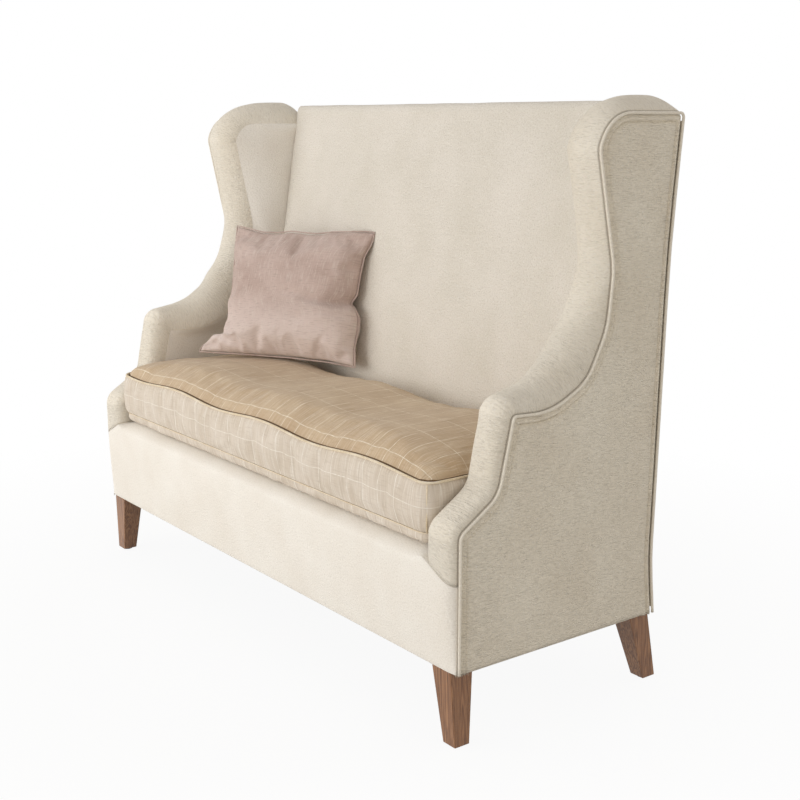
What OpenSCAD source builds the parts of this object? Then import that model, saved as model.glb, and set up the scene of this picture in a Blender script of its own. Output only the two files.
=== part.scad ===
// High back settee with padded wings, loose seat cushion and one scatter cushion.
// Frame: +X to the right as seen from the front, -Y to the front, Z up.
// The origin is on the floor under the middle of the settee's outer box.

/* [Overall] */
// Width over the two outside covers
overall_w = 1411; // [1250:1:1700]
// Height of the hem above the floor
hem_h = 147; // [120:1:170]
// Height of the side outline at the top of the wing
wing_h = 1118; // [1040:1:1200]
// Depth of the base at the hem
base_d = 505; // [480:1:560]
// Height of the arm's front tip
arm_h = 602; // [560:1:640]
// Width of one padded arm
arm_w = 82.5; // [70:0.5:95]
// Width of one padded wing at the back's crease
wing_w = 135.5; // [115:0.5:150]
// How far the arm's top dips under its tip
arm_dip = 12; // [6:1:16]

/* [Padding] */
// How far the padded front edge stands proud of the piping
front_proud = 17; // [12:1:20]
// How far the padded top of the wing stands proud of the piping
top_proud = 29; // [22:1:32]
// Forward crown in the middle of the inside back
back_crown = 18; // [8:1:22]
// Radius of the piping
piping_r = 3.5; // [2.5:0.1:3.6]

/* [Seat] */
// Height of the sprung edge that the cushion lies on
seat_edge_h = 358; // [350:1:365]
// Height of the seat cushion between its two pipings
cushion_border_h = 98; // [85:1:110]
// Rise of the cushion's top over its piping
cushion_crown = 42; // [25:1:50]
// Width of a webbing strap
strap_w = 50; // [40:1:55]

/* [Scatter cushion] */
// Width of the scatter cushion
scatter_w = 440; // [400:1:450]
// Height of the scatter cushion, slumped
scatter_h = 345; // [320:1:360]
// Thickness of the scatter cushion in its middle
scatter_t = 125; // [90:1:135]

/* [Legs] */
// Side of a leg's square top
leg_top = 52; // [46:1:55]
// Width of a leg at its foot
leg_foot = 34; // [28:1:40]
// Backward rake of the rear legs over their height
rear_leg_rake = 39; // [25:1:41]
// Height of the nylon glide under a leg
glide_h = 3.5; // [2.5:0.5:5]

/* [Hidden] */

// Colours
cream = "#E6DFD2";
cream_shade = "#D8D0C2";
beech = "#D8B98C";
ply = "#C9A877";
oak = "#8A6F58";
steel = "#A9ABAD";
black = "#2B2B2B";
jute = "#B59B6E";
foam = "#E9D9A6";
check = "#C4AB8B";
plum = "#B5A08F";

// Clearances and small common sizes
gap = 0.3;
overrun = 1;
least_r = 2;
arc_angle = 12;
long_step = 80;

// Places of the side outline's keys. Depths are shares of the base's depth. Heights are shares of the
// way from the arm pad's foot to the arm's tip, and from there to the top of the wing.
knee_share = 0.3207;
slope_shares = [0.1723, 0.5172];
arm_tip_share = 0.23564;
arm_dip_share = 0.43564;
sweep_shares = [0.6099, 0.0601];
wing_foot_shares = [0.68911, 0.23256];
wing_waist_shares = [0.70495, 0.45155];
wing_nose_shares = [0.6099, 0.87597];
wing_top_share = 0.67129;
back_top_share = 1.05149;
back_bend_shares = [1.00594, 0.51938];
back_foot_shares = [0.97624, 0.43522];
function arm_level(s) = pad_z0 + (arm_h - pad_z0) * s;
function wing_level(s) = arm_h + (wing_h - arm_h) * s;
back_top_y = back_top_share * base_d;

// Radii of the side outline's corners
knee_r = 25;
slope_r = 60;
arm_tip_r = 12;
arm_dip_r = 120;
sweep_r = 90;
wing_foot_r = 160;
wing_waist_r = 150;
wing_nose_r = 40;
wing_top_r = 80;
back_top_r = 12;
back_foot_r = 500;

// Covers, boards and pads across the width of one side
cover_t = 3;
board_t = 18;
lip = 24;
shoulder = 25;
lip_edge = 2;
cover_x1 = overall_w / 2;
cover_x0 = cover_x1 - cover_t;
board_x1 = cover_x0 - gap;
board_x0 = board_x1 - board_t;
pocket_x = board_x0 - gap;
arm_in_x = overall_w / 2 - arm_w;
wing_in_x = overall_w / 2 - wing_w;
piping_inset = piping_r + gap;
piping_x = board_x1 + piping_r + gap;
cover_edge = 0.4;
cover_inset = 2 * piping_r + 2 * gap + cover_edge;

// Seat rails
rail_t = 25;
side_rail_t = 39;
rail_y = 8;
plate_t = 3;
rail_z0 = hem_h + plate_t;
rail_top_share = 0.83799;
rail_z1 = rail_top_share * seat_edge_h;
strap_t = 2;
side_rail_x = board_x0 - side_rail_t;
rear_rail_t = 34;
rear_rail_in = 16;
rear_rail_y = base_d - cover_t - gap - rear_rail_t - rear_rail_in;
brace_w = 45;
brace_h = 90;
post_w = 44;
post_x = board_x0 - post_w;
frame_share = 0.86535;
frame_y = frame_share * base_d;
frame_gap = strap_t + 2 * gap;

// Inside back: the padded face leans from back_seat_y at the height back_seat_h to back_head_y at the roll
back_seat_share = 0.79802;
back_head_share = 0.99086;
back_seat_y = back_seat_share * base_d;
back_head_y = back_head_share * base_d;
back_rise_share = 0.45170;
back_seat_h = back_rise_share * wing_h;
back_edge_t = 8;
roll_drop = 5;
roll_z = wing_h - roll_drop;
back_slope = (back_head_y - back_seat_y) / (roll_z - back_seat_h);
back_rake = atan(back_slope);
roll_r = 25;
post_drop = 33;
post_top = wing_h - post_drop;
top_rail_h = 55;
lower_rail_rise = 100;
lower_rail_z0 = rail_z1 + lower_rail_rise;
lower_rail_h = 60;
stile_w = 60;
back_cover_drop = 18;
back_cover_top = wing_h - back_cover_drop;
pad_drop = 46;
pad_z0 = seat_edge_h - pad_drop;
pad_rise = 40;
crease_shares = [0.85517, 0.3062];
crease_z0 = arm_level(crease_shares[0]);
crease_z1 = wing_level(crease_shares[1]);
roll_end_r = 30;
roll_end_in = 11;
roll_end_y = back_top_y - roll_end_in;

// Lower front border
edge_back = 45;
border_r = 25;
border_hem_bulge = 4;
border_shoulder = 33;
border_end_w = 30;

// Seat cushion
cushion_gap = 1;
cushion_r = 26;
cushion_front_y = 0;
cushion_bulge = 6;
bead_r = 3;
under_h = 24;
soft_gap = 0.33;
border_nip = 0.33;
cushion_z0 = seat_edge_h + soft_gap;
bead_z0 = cushion_z0 + under_h;
bead_z1 = bead_z0 + cushion_border_h;
cushion_x = arm_in_x - cushion_gap - cushion_bulge;
bead_wave = 5;
core_inset = 30;

// Zip in the cushion's rear border
zip_in = 96;
zip_l = 2 * (cushion_x - zip_in);
zip_w = 28;
zip_depth = 7;
tape_t = 1;
chain_w = 6;
chain_t = 2.4;
slider_l = 15;
slider_w = 12;
slider_wall = 1.6;
puller_l = 16;
puller_w = 6;

// Scatter cushion: where its middle lies, its turn about the upright and its lean
scatter_share = -0.56006;
scatter_x = scatter_share * cushion_x;
scatter_off = 117.94;
scatter_turn = 21;
scatter_lean = 14;
// Its corners hang below the crown's top by this much
scatter_sink = 12.8;

// Leg fittings
plate_w = 24;
bolt_r = 4;
bolt_up = 30;
bolt_down = 35;
bore_gap = 0.05;
glide_r = 11;
leg_out = 8;
front_leg_y = -3;
front_foot_in = 6;
rear_leg_y = base_d - leg_top;

// Dowels, blocks and screws
dowel_r = 5;
dowel_l = 60;
dowel_cover = 4;
dowel_shares = [0.3, 0.7];
block_leg = 62;
block_h = 45;
block_z = 215;
screw_r = 2.2;
screw_l = 33;
screw_head_r = 4.4;
screw_head_h = 3;
screw_sink = 14;

function unit(v) = v / norm(v);
function turned(v, a) = [v[0] * cos(a) - v[1] * sin(a), v[0] * sin(a) + v[1] * cos(a)];
function between(a, b, s) = a + (b - a) * s;
function clamped(s) = min(1, max(0, s));
function eased(s) = let (c = clamped(s)) c * c * (3 - 2 * c);
function spot(k) = [k[0], k[1]];
function out_normal(a, b) = turned(unit(b - a), 90);

// A path runs clockwise through keys [y, z, radius]. Its points are [y, z, normal y, normal z].
function bend(k, i) =
    let (a = spot(k[i]) - spot(k[i - 1]), b = spot(k[i + 1]) - spot(k[i]))
    atan2(a[0] * b[1] - a[1] * b[0], a * b);
function shifted(k, i, inset) =
    let (n = len(k) - 1)
    i == 0 ? spot(k[0]) - inset * out_normal(spot(k[0]), spot(k[1])) :
    i == n ? spot(k[n]) - inset * out_normal(spot(k[n - 1]), spot(k[n])) :
    let (na = out_normal(spot(k[i - 1]), spot(k[i])), nb = out_normal(spot(k[i]), spot(k[i + 1])))
    spot(k[i]) - inset * (na + nb) / (1 + na * nb);
function corner(k, i, inset) =
    let (s = shifted(k, i, inset), n = len(k) - 1)
    i == 0 ? [concat(s, out_normal(spot(k[0]), spot(k[1])))] :
    i == n ? [concat(s, out_normal(spot(k[n - 1]), spot(k[n])))] :
    let (na = out_normal(spot(k[i - 1]), spot(k[i])), turn = bend(k, i),
        r = turn > 0 ? k[i][2] + inset : max(k[i][2] - inset, least_r),
        c = s - turned(na, -90) * r * tan(abs(turn) / 2) + sign(turn) * na * r,
        steps = max(2, ceil(abs(turn) / arc_angle)))
    [for (j = [0:steps]) let (m = turned(na, turn * j / steps)) concat(c - sign(turn) * r * m, m)];
function path(k, inset = 0) =
    [for (i = [0:len(k) - 1])
        let (here = corner(k, i, inset), last = here[len(here) - 1])
        each concat(here, i == len(k) - 1 ? [] :
            let (next = corner(k, i + 1, inset)[0],
                n = ceil(norm(spot(k[i + 1]) - spot(k[i])) / long_step) - 1)
            [for (j = [1:1:n]) between(last, next, j / (n + 1))])];
function flat(p) = [for (q = p) spot(q)];
function reversed(p) = [for (i = [len(p) - 1:-1:0]) p[i]];
function path_lengths(p) =
    [for (i = 0, s = 0; i < len(p); s = s + (i + 1 < len(p) ? norm(spot(p[i + 1]) - spot(p[i])) : 0),
        i = i + 1) s];

// The settee's side outline, from the hem in front over the top to the hem behind
knee_h = arm_level(knee_share);
front_keys = [[0, knee_h, knee_r],
    [slope_shares[0] * base_d, arm_level(slope_shares[1]), slope_r],
    [arm_tip_share * base_d, arm_h, arm_tip_r],
    [arm_dip_share * base_d, arm_h - arm_dip, arm_dip_r],
    [sweep_shares[0] * base_d, wing_level(sweep_shares[1]), sweep_r],
    [wing_foot_shares[0] * base_d, wing_level(wing_foot_shares[1]), wing_foot_r],
    [wing_waist_shares[0] * base_d, wing_level(wing_waist_shares[1]), wing_waist_r],
    [wing_nose_shares[0] * base_d, wing_level(wing_nose_shares[1]), wing_nose_r],
    [wing_top_share * base_d, wing_h, wing_top_r]];
back_bend_y = back_bend_shares[0] * base_d;
back_bend_h = wing_level(back_bend_shares[1]);
back_bend_round_share = 24.632;
back_bend_r = back_bend_round_share * pow(wing_h - back_bend_h, 2) / base_d;
back_foot_y = back_foot_shares[0] * base_d;
back_foot_h = back_foot_shares[1] * arm_h;
rear_keys = [[back_bend_y, back_bend_h, back_bend_r], [back_foot_y, back_foot_h, back_foot_r],
    [base_d, hem_h, 0]];
side_keys = concat([[0, hem_h, 0]], front_keys, [[back_top_y, wing_h, back_top_r]], rear_keys);
rear_table = [[hem_h, base_d], [back_foot_h, back_foot_y], [back_bend_h, back_bend_y], [wing_h, back_top_y]];
function rear_path(top, inset) = path(concat([[lookup(top, rear_table), top, 0]], rear_keys), inset);

// The arm pad's underside rises from the outside to the inside, where the border's crease runs
function under_rise(x) = pad_rise * clamped((board_x1 - x) / (board_x1 - arm_in_x));
function lifted(p) =
    [p[0], p[1], p[2] + under_rise(p[0]) * clamped((knee_h - p[2]) / (knee_h - pad_z0))];

// Planes of the back
function face_y(z) = back_seat_y + (z - back_seat_h) * back_slope;
function pad_back_y(z) = max(frame_y, face_y(z) + back_edge_t);
bend_z = back_seat_h + (frame_y - back_edge_t - back_seat_y) / back_slope;
function crease_x(z) = between(arm_in_x, wing_in_x, clamped((z - crease_z0) / (crease_z1 - crease_z0)));

// The outer box, from which the origin is set
rear_most = max([for (p = path(side_keys)) p[0]]);
mid_y = (rear_most - front_proud) / 2;

module placed() { translate([0, -mid_y, 0]) children(); }
module on_side(side) {
    if (side > 0) children();
    else mirror([1, 0, 0]) children();
}
// Extrudes a Y-Z outline across X, from x0 to x1
module across(x0, x1) { translate([x0, 0, 0]) rotate([90, 0, 90]) linear_extrude(x1 - x0) children(); }
module box(low, high) { translate(low) cube(high - low); }
module along_y(r, y0, y1) { translate([0, y0, 0]) rotate([-90, 0, 0]) cylinder(r = r, h = y1 - y0, $fn = 32); }
module along_x(r, x0, x1) { translate([x0, 0, 0]) rotate([0, 90, 0]) cylinder(r = r, h = x1 - x0, $fn = 32); }

// Closed solid through rings of equal count. Each end is closed by a fan to a middle point,
// or by one face where no middle points are given.
module loft(rings, mids = []) {
    n = len(rings);
    m = len(rings[0]);
    sides = [for (i = [0:n - 2], j = [0:m - 1])
        let (a = i * m + j, b = i * m + (j + 1) % m) each [[a, b, b + m], [a, b + m, a + m]]];
    fans = [for (j = [0:m - 1]) let (k = (j + 1) % m)
        each [[n * m, k, j], [n * m + 1, (n - 1) * m + j, (n - 1) * m + k]]];
    caps = [[for (j = [m - 1:-1:0]) j], [for (j = [0:m - 1]) (n - 1) * m + j]];
    polyhedron(points = concat([for (r = rings) each r], mids),
        faces = concat(sides, len(mids) > 0 ? fans : caps), convexity = 8);
}

// A round bead along a closed or open list of [centre, direction across, direction up]
module bead(stations, r, sides, closed) {
    n = len(stations);
    rings = [for (s = stations) [for (j = [0:sides - 1])
        s[0] + r * (cos(360 * j / sides) * s[1] + sin(360 * j / sides) * s[2])]];
    tube = [for (i = [0:closed ? n - 1 : n - 2], j = [0:sides - 1])
        let (a = i * sides + j, b = i * sides + (j + 1) % sides,
            c = ((i + 1) % n) * sides + j, d = ((i + 1) % n) * sides + (j + 1) % sides)
        each [[a, b, d], [a, d, c]]];
    ends = closed ? [] : [[for (j = [sides - 1:-1:0]) j],
        [for (j = [0:sides - 1]) (n - 1) * sides + j]];
    polyhedron(points = [for (r = rings) each r], faces = concat(tube, ends), convexity = 8);
}

// Seat frame

module screw(extra) {
    // Points forward: the head lies in the block, the shank runs to -Y
    translate([0, screw_l / 3, 0]) rotate([90, 0, 0])
        cylinder(r = screw_r + extra, h = screw_l + extra, $fn = 24);
    translate([0, screw_l / 3, 0]) rotate([-90, 0, 0])
        cylinder(r = screw_head_r + extra, h = screw_head_h + (extra > 0 ? block_leg : 0), $fn = 24);
}

// One screw through each corner block into the front or the rear rail
module screws(extra) {
    for (side = [-1, 1]) {
        translate([side * (side_rail_x - screw_sink), rail_y + rail_t, block_z + block_h / 2]) screw(extra);
        translate([side * (side_rail_x - screw_sink), rear_rail_y, block_z + block_h / 2])
            rotate([0, 0, 180]) screw(extra);
    }
}

front_dowel_y = rail_y + dowel_cover;
rear_dowel_y = rear_rail_y + rear_rail_t - dowel_cover;
module dowels(extra) {
    for (side = [-1, 1], s = dowel_shares)
        translate([side * (side_rail_x + side_rail_t / 2), 0, between(rail_z0, rail_z1, s)]) {
            along_y(dowel_r + extra, front_dowel_y - extra, front_dowel_y + dowel_l + extra);
            along_y(dowel_r + extra, rear_dowel_y - dowel_l - extra, rear_dowel_y + extra);
        }
}

module leg_bolts(extra) {
    for (side = [-1, 1], y = [front_bolt_y, rear_bolt_y])
        translate([side * bolt_x, y, hem_h - bolt_down - extra])
            cylinder(r = bolt_r + extra, h = bolt_down + plate_t + bolt_up + 2 * extra, $fn = 32);
}
bolt_x = board_x0 - side_rail_t / 2;
front_bolt_y = rail_y + rail_t / 2;
rear_bolt_y = rear_rail_y + rear_rail_t - plate_w / 2;

module front_seat_rail() color(beech) placed() difference() {
    box([-board_x0, rail_y, rail_z0], [board_x0, rail_y + rail_t, rail_z1]);
    dowels(bore_gap);
    screws(bore_gap);
    leg_bolts(bore_gap);
}

module rear_seat_rail() color(beech) placed() difference() {
    box([-board_x0, rear_rail_y, rail_z0], [board_x0, rear_rail_y + rear_rail_t, rail_z1]);
    dowels(bore_gap);
    screws(bore_gap);
    leg_bolts(bore_gap);
}

module side_seat_rail(side) color(beech) placed() difference() {
    on_side(side) box([side_rail_x, rail_y + rail_t, rail_z0], [board_x0, rear_rail_y, rail_z1]);
    dowels(bore_gap);
}
module side_seat_rail_left() { side_seat_rail(-1); }
module side_seat_rail_right() { side_seat_rail(1); }

module seat_centre_brace() color(beech) placed()
    box([-brace_w / 2, rail_y + rail_t, rail_z0 + gap], [brace_w / 2, rear_rail_y, rail_z0 + brace_h]);

module corner_blocks() color(beech) placed() difference() {
    for (side = [-1, 1]) on_side(side) translate([0, 0, block_z]) linear_extrude(block_h) {
        polygon([[side_rail_x, rail_y + rail_t], [side_rail_x - block_leg, rail_y + rail_t],
            [side_rail_x, rail_y + rail_t + block_leg]]);
        polygon([[side_rail_x, rear_rail_y], [side_rail_x - block_leg, rear_rail_y],
            [side_rail_x, rear_rail_y - block_leg]]);
    }
    screws(bore_gap);
}

module corner_block_screws() color(steel) placed() screws(0);

module frame_dowels() color(beech) placed() dowels(0);

// Side boards, cut to the settee's outline less the depth of the padding

hole_r = 42;
// Lightening holes in the arm part and in the wing part: depth, level and radius
arm_hole_shares = [[0.52, 0.31, 1], [0.78, 0.31, 1]];
wing_hole_shares = [[0.8, 0.0465, 1], [0.855, 0.48, 0.7]];
module side_board(side) color(ply) placed() on_side(side) across(board_x0, board_x1) difference() {
    polygon(flat(path(board_keys, lip + gap)));
    for (s = arm_hole_shares) translate([s[0] * base_d, arm_level(s[1])]) circle(r = s[2] * hole_r, $fn = 48);
    for (s = wing_hole_shares) translate([s[0] * base_d, wing_level(s[1])]) circle(r = s[2] * hole_r, $fn = 48);
}
board_keys = concat([[0, rail_z0, 0]], front_keys, [[back_top_y, wing_h, back_top_r]],
    [rear_keys[0], rear_keys[1], [base_d, rail_z0, 0]]);
module side_board_left() { side_board(-1); }
module side_board_right() { side_board(1); }

// Back frame

module back_wedge(z0, z1) {
    intersection() {
        polygon(concat([[pad_back_y(z0) + frame_gap, z0]],
            z1 > bend_z && z0 < bend_z ? [[frame_y + frame_gap, bend_z]] : [],
            [[pad_back_y(z1) + frame_gap, z1], [back_top_y, z1], [back_top_y, z0]]));
        polygon(concat([[0, hem_h]], [[0, wing_h]], flat(rear_path(wing_h, cover_t + gap))));
    }
}

module back_post(side) color(beech) placed() on_side(side)
    across(post_x, board_x0) back_wedge(rail_z1, post_top);
module back_post_left() { back_post(-1); }
module back_post_right() { back_post(1); }

module back_top_rail() color(beech) placed() across(-post_x, post_x) back_wedge(post_top - top_rail_h, post_top);
module back_lower_rail() color(beech) placed()
    across(-post_x, post_x) back_wedge(lower_rail_z0, lower_rail_z0 + lower_rail_h);
module back_centre_stile() color(beech) placed()
    across(-stile_w / 2, stile_w / 2) back_wedge(lower_rail_z0 + lower_rail_h, post_top - top_rail_h);

// Legs

module leg(x0, x1, foot_x0, foot_x1, y0, y1, foot_y0, foot_y1) {
    intersection() {
        translate([0, y1 + leg_top, 0]) rotate([90, 0, 0]) linear_extrude(3 * leg_top + rear_leg_rake)
            polygon([[foot_x0, glide_h], [x0, hem_h], [x1, hem_h], [foot_x1, glide_h]]);
        across(x0 - leg_top, x1 + leg_top)
            polygon([[foot_y0, glide_h], [y0, hem_h], [y1, hem_h], [foot_y1, glide_h]]);
    }
}
leg_x1 = cover_x1 - leg_out * 2;
leg_x0 = leg_x1 - leg_top;
foot_x1 = leg_x1 + leg_out;
foot_x0 = foot_x1 - leg_foot;
front_foot_y = front_leg_y + front_foot_in;
rear_foot_y = rear_leg_y + rear_leg_rake;

module front_leg(side) color(oak) placed() difference() {
    on_side(side) leg(leg_x0, leg_x1, foot_x0, foot_x1,
        front_leg_y, front_leg_y + leg_top, front_foot_y, front_foot_y + leg_foot);
    leg_bolts(bore_gap);
}
module rear_leg(side) color(oak) placed() difference() {
    on_side(side) leg(leg_x0, leg_x1, foot_x0, foot_x1,
        rear_leg_y, rear_leg_y + leg_top, rear_foot_y, rear_foot_y + leg_foot);
    leg_bolts(bore_gap);
}
module front_leg_left() { front_leg(-1); }
module front_leg_right() { front_leg(1); }
module rear_leg_left() { rear_leg(-1); }
module rear_leg_right() { rear_leg(1); }

module leg_plates() color(steel) placed() difference() {
    for (side = [-1, 1], y = [front_bolt_y, rear_bolt_y])
        translate([side * bolt_x - plate_w / 2, y - plate_w / 2, hem_h]) cube([plate_w, plate_w, plate_t]);
    leg_bolts(bore_gap);
}

module leg_hanger_bolts() color(steel) placed() leg_bolts(0);

module leg_glides() color(black) placed()
    for (side = [-1, 1], y = [front_foot_y, rear_foot_y])
        translate([side * (foot_x0 + foot_x1) / 2, y + leg_foot / 2, 0])
            cylinder(r = glide_r, h = glide_h, $fn = 40);

// Webbing

long_count = 5;
cross_count = 9;
web_x = board_x0 - lip;
web_y0 = rail_y + lip_edge;
web_y1 = rear_rail_y + rear_rail_t - lip_edge;
function strap_places(a, b, n) = [for (i = [0:n - 1]) between(a, b, (i + 0.5) / n)];
long_ys = strap_places(rail_y + rail_t, rear_rail_y, long_count);
cross_xs = strap_places(-web_x, web_x, cross_count);

// Wavy edge of a strap that passes over one crossing strap and under the next
function weave(places, start, first, last) = concat([[first, 0]],
    [for (i = [0:len(places) - 1]) let (s = (i + start) % 2 == 0 ? strap_t : 0, w = strap_w / 2 + lip_edge)
        each [[places[i] - w, s], [places[i] + w, s]]],
    [[last, 0]]);
module strap(edge) {
    polygon(concat(edge, [for (p = reversed(edge)) [p[0], p[1] + strap_t - gap / 3]]));
}
module seat_webbing_long() color(jute) placed()
    for (i = [0:long_count - 1]) translate([0, long_ys[i] + strap_w / 2, rail_z1])
        rotate([90, 0, 0]) linear_extrude(strap_w) strap(weave(cross_xs, i, -web_x, web_x));
module seat_webbing_cross() color(jute) placed()
    for (i = [0:cross_count - 1]) translate([cross_xs[i] - strap_w / 2, 0, rail_z1])
        rotate([90, 0, 90]) linear_extrude(strap_w) strap(weave(long_ys, i + 1, web_y0, web_y1));

back_count = 7;
module back_webbing() color(jute) placed()
    for (x = strap_places(-post_x, post_x, back_count)) across(x - strap_w / 2, x + strap_w / 2)
        polygon([[frame_y + gap, lower_rail_z0], [frame_y + gap, bend_z],
            [pad_back_y(post_top) + gap, post_top], [pad_back_y(post_top) + gap + strap_t, post_top],
            [frame_y + gap + strap_t, bend_z], [frame_y + gap + strap_t, lower_rail_z0]]);

// Padding and covers

web_top = rail_z1 + 2 * strap_t;
deck_drop = 6;
module seat_deck_pad() color(cream_shade) placed()
    box([-arm_in_x + gap, edge_back + gap, web_top + gap],
        [arm_in_x - gap, deck_rear_y, seat_edge_h - deck_drop]);

module dust_cover() color(black) placed() difference() {
    box([-board_x0 + gap, rail_y, hem_h + plate_t / 2],
        [board_x0 - gap, rear_rail_y + rear_rail_t, hem_h + plate_t]);
    for (side = [-1, 1], y = [front_bolt_y, rear_bolt_y])
        translate([side * bolt_x - plate_w / 2 - gap, y - plate_w / 2 - gap, hem_h])
            cube([plate_w + 2 * gap, plate_w + 2 * gap, plate_t + overrun]);
}

// Lower front border: rises between the arms, runs under the arm fronts at its ends
border_face_shares = [0, 0.22, 0.45, 0.7, 1];
border_xs = [0.16, 0.34, 0.52, 0.7, 0.86, 0.95];
function border_top(x) = abs(x) > arm_in_x ? pad_z0 + under_rise(abs(x)) - gap :
    between(seat_edge_h, pad_z0 + pad_rise - gap, eased((abs(x) - arm_in_x + border_shoulder) / border_shoulder));
function border_round(x) = between(border_r, least_r, eased((abs(x) - arm_in_x + border_shoulder) / border_shoulder));
function border_fade(x) = sqrt(1 - pow(clamped((abs(x) - board_x1 + border_end_w) / border_end_w), 2));
function border_ring(x) =
    let (top = border_top(x), back = abs(x) > arm_in_x ? lip - gap : edge_back,
        r = border_round(x), z1 = top - r, f = border_fade(x))
    concat(
        [for (s = border_face_shares)
            [x, -f * between(border_hem_bulge, front_proud, sin(90 * s)), between(hem_h, z1, s)]],
        [for (a = [22.5, 45, 67.5, 90])
            [x, back - (back + f * front_proud) * cos(a), z1 + r * sin(a)]],
        [[x, back, web_top + gap], [x, rail_y - gap, web_top + gap], [x, rail_y - gap, hem_h]]);
module front_border() color(cream) placed() {
    half = concat([for (s = border_xs) s * (arm_in_x - border_shoulder)],
        [arm_in_x - border_shoulder, arm_in_x - border_shoulder / 2, arm_in_x - gap, arm_in_x + gap,
         board_x1 - border_end_w],
        [for (a = [30, 55, 75, 90]) board_x1 - border_end_w + border_end_w * sin(a)]);
    xs = concat([for (x = reversed(half)) -x], [0], half);
    rings = [for (x = xs) border_ring(x)];
    mid_end = [rail_y - lip_edge, web_top];
    loft(rings, [[-board_x1, mid_end[0], mid_end[1]], [board_x1, mid_end[0], mid_end[1]]]);
}

// Inside back: crowned face, rolled over the top rail
back_xs = [0.2, 0.42, 0.62, 0.79, 0.9, 0.965, 1];
back_z0 = pad_z0 + pad_rise;
back_zs = concat([for (s = [0, 0.25, 0.5, 0.75]) between(back_z0, crease_z0, s)],
    [for (s = [0, 0.5]) between(crease_z0, crease_z1, s)]);
crown_table = [[0, 0.3], [0.15, 0.35], [0.45, 1], [0.85, 1], [1, 0.75]];
back_face_zs = concat(back_zs, [for (s = [0, 0.25, 0.5, 0.75]) between(crease_z1, roll_z, s)]);
back_rear_y = back_top_y - 2 * lip_edge;
function crown_at(u, z) = back_crown * pow(1 - pow(abs(u), 5), 0.6)
    * lookup((z - back_z0) / (roll_z - back_z0), crown_table);
function back_ring(u) =
    let (front = face_y(roll_z) - crown_at(u, roll_z), mid = (front + back_rear_y) / 2)
    concat(
        [for (z = back_face_zs) [u * (crease_x(z) - gap), face_y(z) - crown_at(u, z), z]],
        [for (a = [0, 30, 60, 90, 120, 150, 180])
            [u * (wing_in_x - gap), mid - (back_rear_y - mid) * cos(a), roll_z + roll_r * sin(a)]],
        [[u * (wing_in_x - gap), back_rear_y, back_cover_top + lip_edge],
         [u * (wing_in_x - gap), pad_back_y(post_top), post_top + gap]],
        [for (z = [crease_z1, bend_z, crease_z0, back_z0]) [u * (crease_x(z) - gap), pad_back_y(z), z]]);
module inside_back_pad() color(cream) placed() {
    us = concat([for (u = reversed(back_xs)) -u], [0], back_xs);
    rings = [for (u = us) back_ring(u)];
    loft(rings);
}

// The deck ends just in front of the inside back's foot
deck_rear_y = face_y(back_z0) - crown_at(0, back_z0) - gap;

// Wing and arm pad: one padded roll round the whole outline, with the inside face behind it
pad_keys = concat([[0, pad_z0, 0]], front_keys, [[roll_end_y - roll_end_r, wing_h, 0]]);
roll_angles = [15, 30, 45, 60, 75, 90];
function rolled_end(inset) = [for (a = roll_angles)
    [roll_end_y - roll_end_r + roll_end_r * sin(a), wing_h - inset, 0, 1]];
function pad_path(inset) = concat(path(pad_keys, inset), rolled_end(inset));
arch_steps = 8;
arch_share = 0.72;
// How proud the roll stands, where its inner edge runs and where each ring ends, along the outline
proud_shares = [[0, 0], [0.14, 0], [0.25, 0.5], [0.36, 0.85], [0.45, 0.6], [0.6, 0.1], [0.78, 0.25], [0.86, 0.8], [0.92, 1]];
inner_shares = [[0, 0], [0.8, 0], [0.95, 1], [1, 1]];
foot_shares = [[0, 0], [0.054, 0.03], [0.14, 0.1], [0.259, 0.197], [0.343, 0.272], [0.424, 0.37],
    [0.505, 0.48], [0.599, 0.655], [0.784, 0.89], [0.843, 0.94], [1, 1]];
foot_depth_share = 0.18812;
foot_y0 = foot_depth_share * base_d;
throat_share = 0.4;
throat_sag = 1.5;
foot_turn_share = 0.272;
function pad_foot(w) = w < foot_turn_share ?
    [between(foot_y0, pad_back_y(pad_z0), w / foot_turn_share), pad_z0] :
    let (z = between(pad_z0, post_top, (w - foot_turn_share) / (1 - foot_turn_share))) [pad_back_y(z), z];
// The heights of the feet are drawn so that one falls on each end of the slanting crease
function nearest(zs, z) = let (d = min([for (q = zs) abs(q - z)])) [for (q = zs) if (abs(q - z) == d) q][0];
function foot_table(zs) = [[pad_z0, pad_z0], [nearest(zs, crease_z0), crease_z0],
    [nearest(zs, crease_z1), crease_z1], [post_top, post_top]];
function seated(foot, table) = foot[1] > pad_z0 ?
    let (z = lookup(foot[1], table)) [pad_back_y(z), z] : foot;
function pad_ring(p, inner, board, foot, t, fade) =
    let (proud = between(front_proud, top_proud, lookup(t, proud_shares)) * fade,
        x_in = between(arm_in_x, wing_in_x, lookup(t, inner_shares)),
        half = (board_x1 - x_in) / 2, mid = board_x1 - half,
        face_x = foot[1] > pad_z0 ? crease_x(foot[1]) : arm_in_x)
    concat(
        [[board_x1, board[0], board[1]]],
        [for (j = [0:arch_steps])
            let (a = 180 * j / arch_steps, low = cos(a) < 0 ? shoulder : lip_edge,
                off = -low + (proud + low) * pow(sin(a), arch_share),
                q = off >= 0 ? spot(p) + off * [p[2], p[3]] : between(spot(p), spot(inner), -off / shoulder))
            [mid + half * sign(cos(a)) * pow(abs(cos(a)), arch_share), q[0], q[1]]],
        [let (q = between(spot(inner), foot, throat_share)) [(x_in + face_x) / 2 + throat_sag, q[0], q[1]],
         [face_x, foot[0], foot[1]],
         [pocket_x, foot[0], foot[1]],
         [pocket_x, board[0], board[1]]]);
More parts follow.
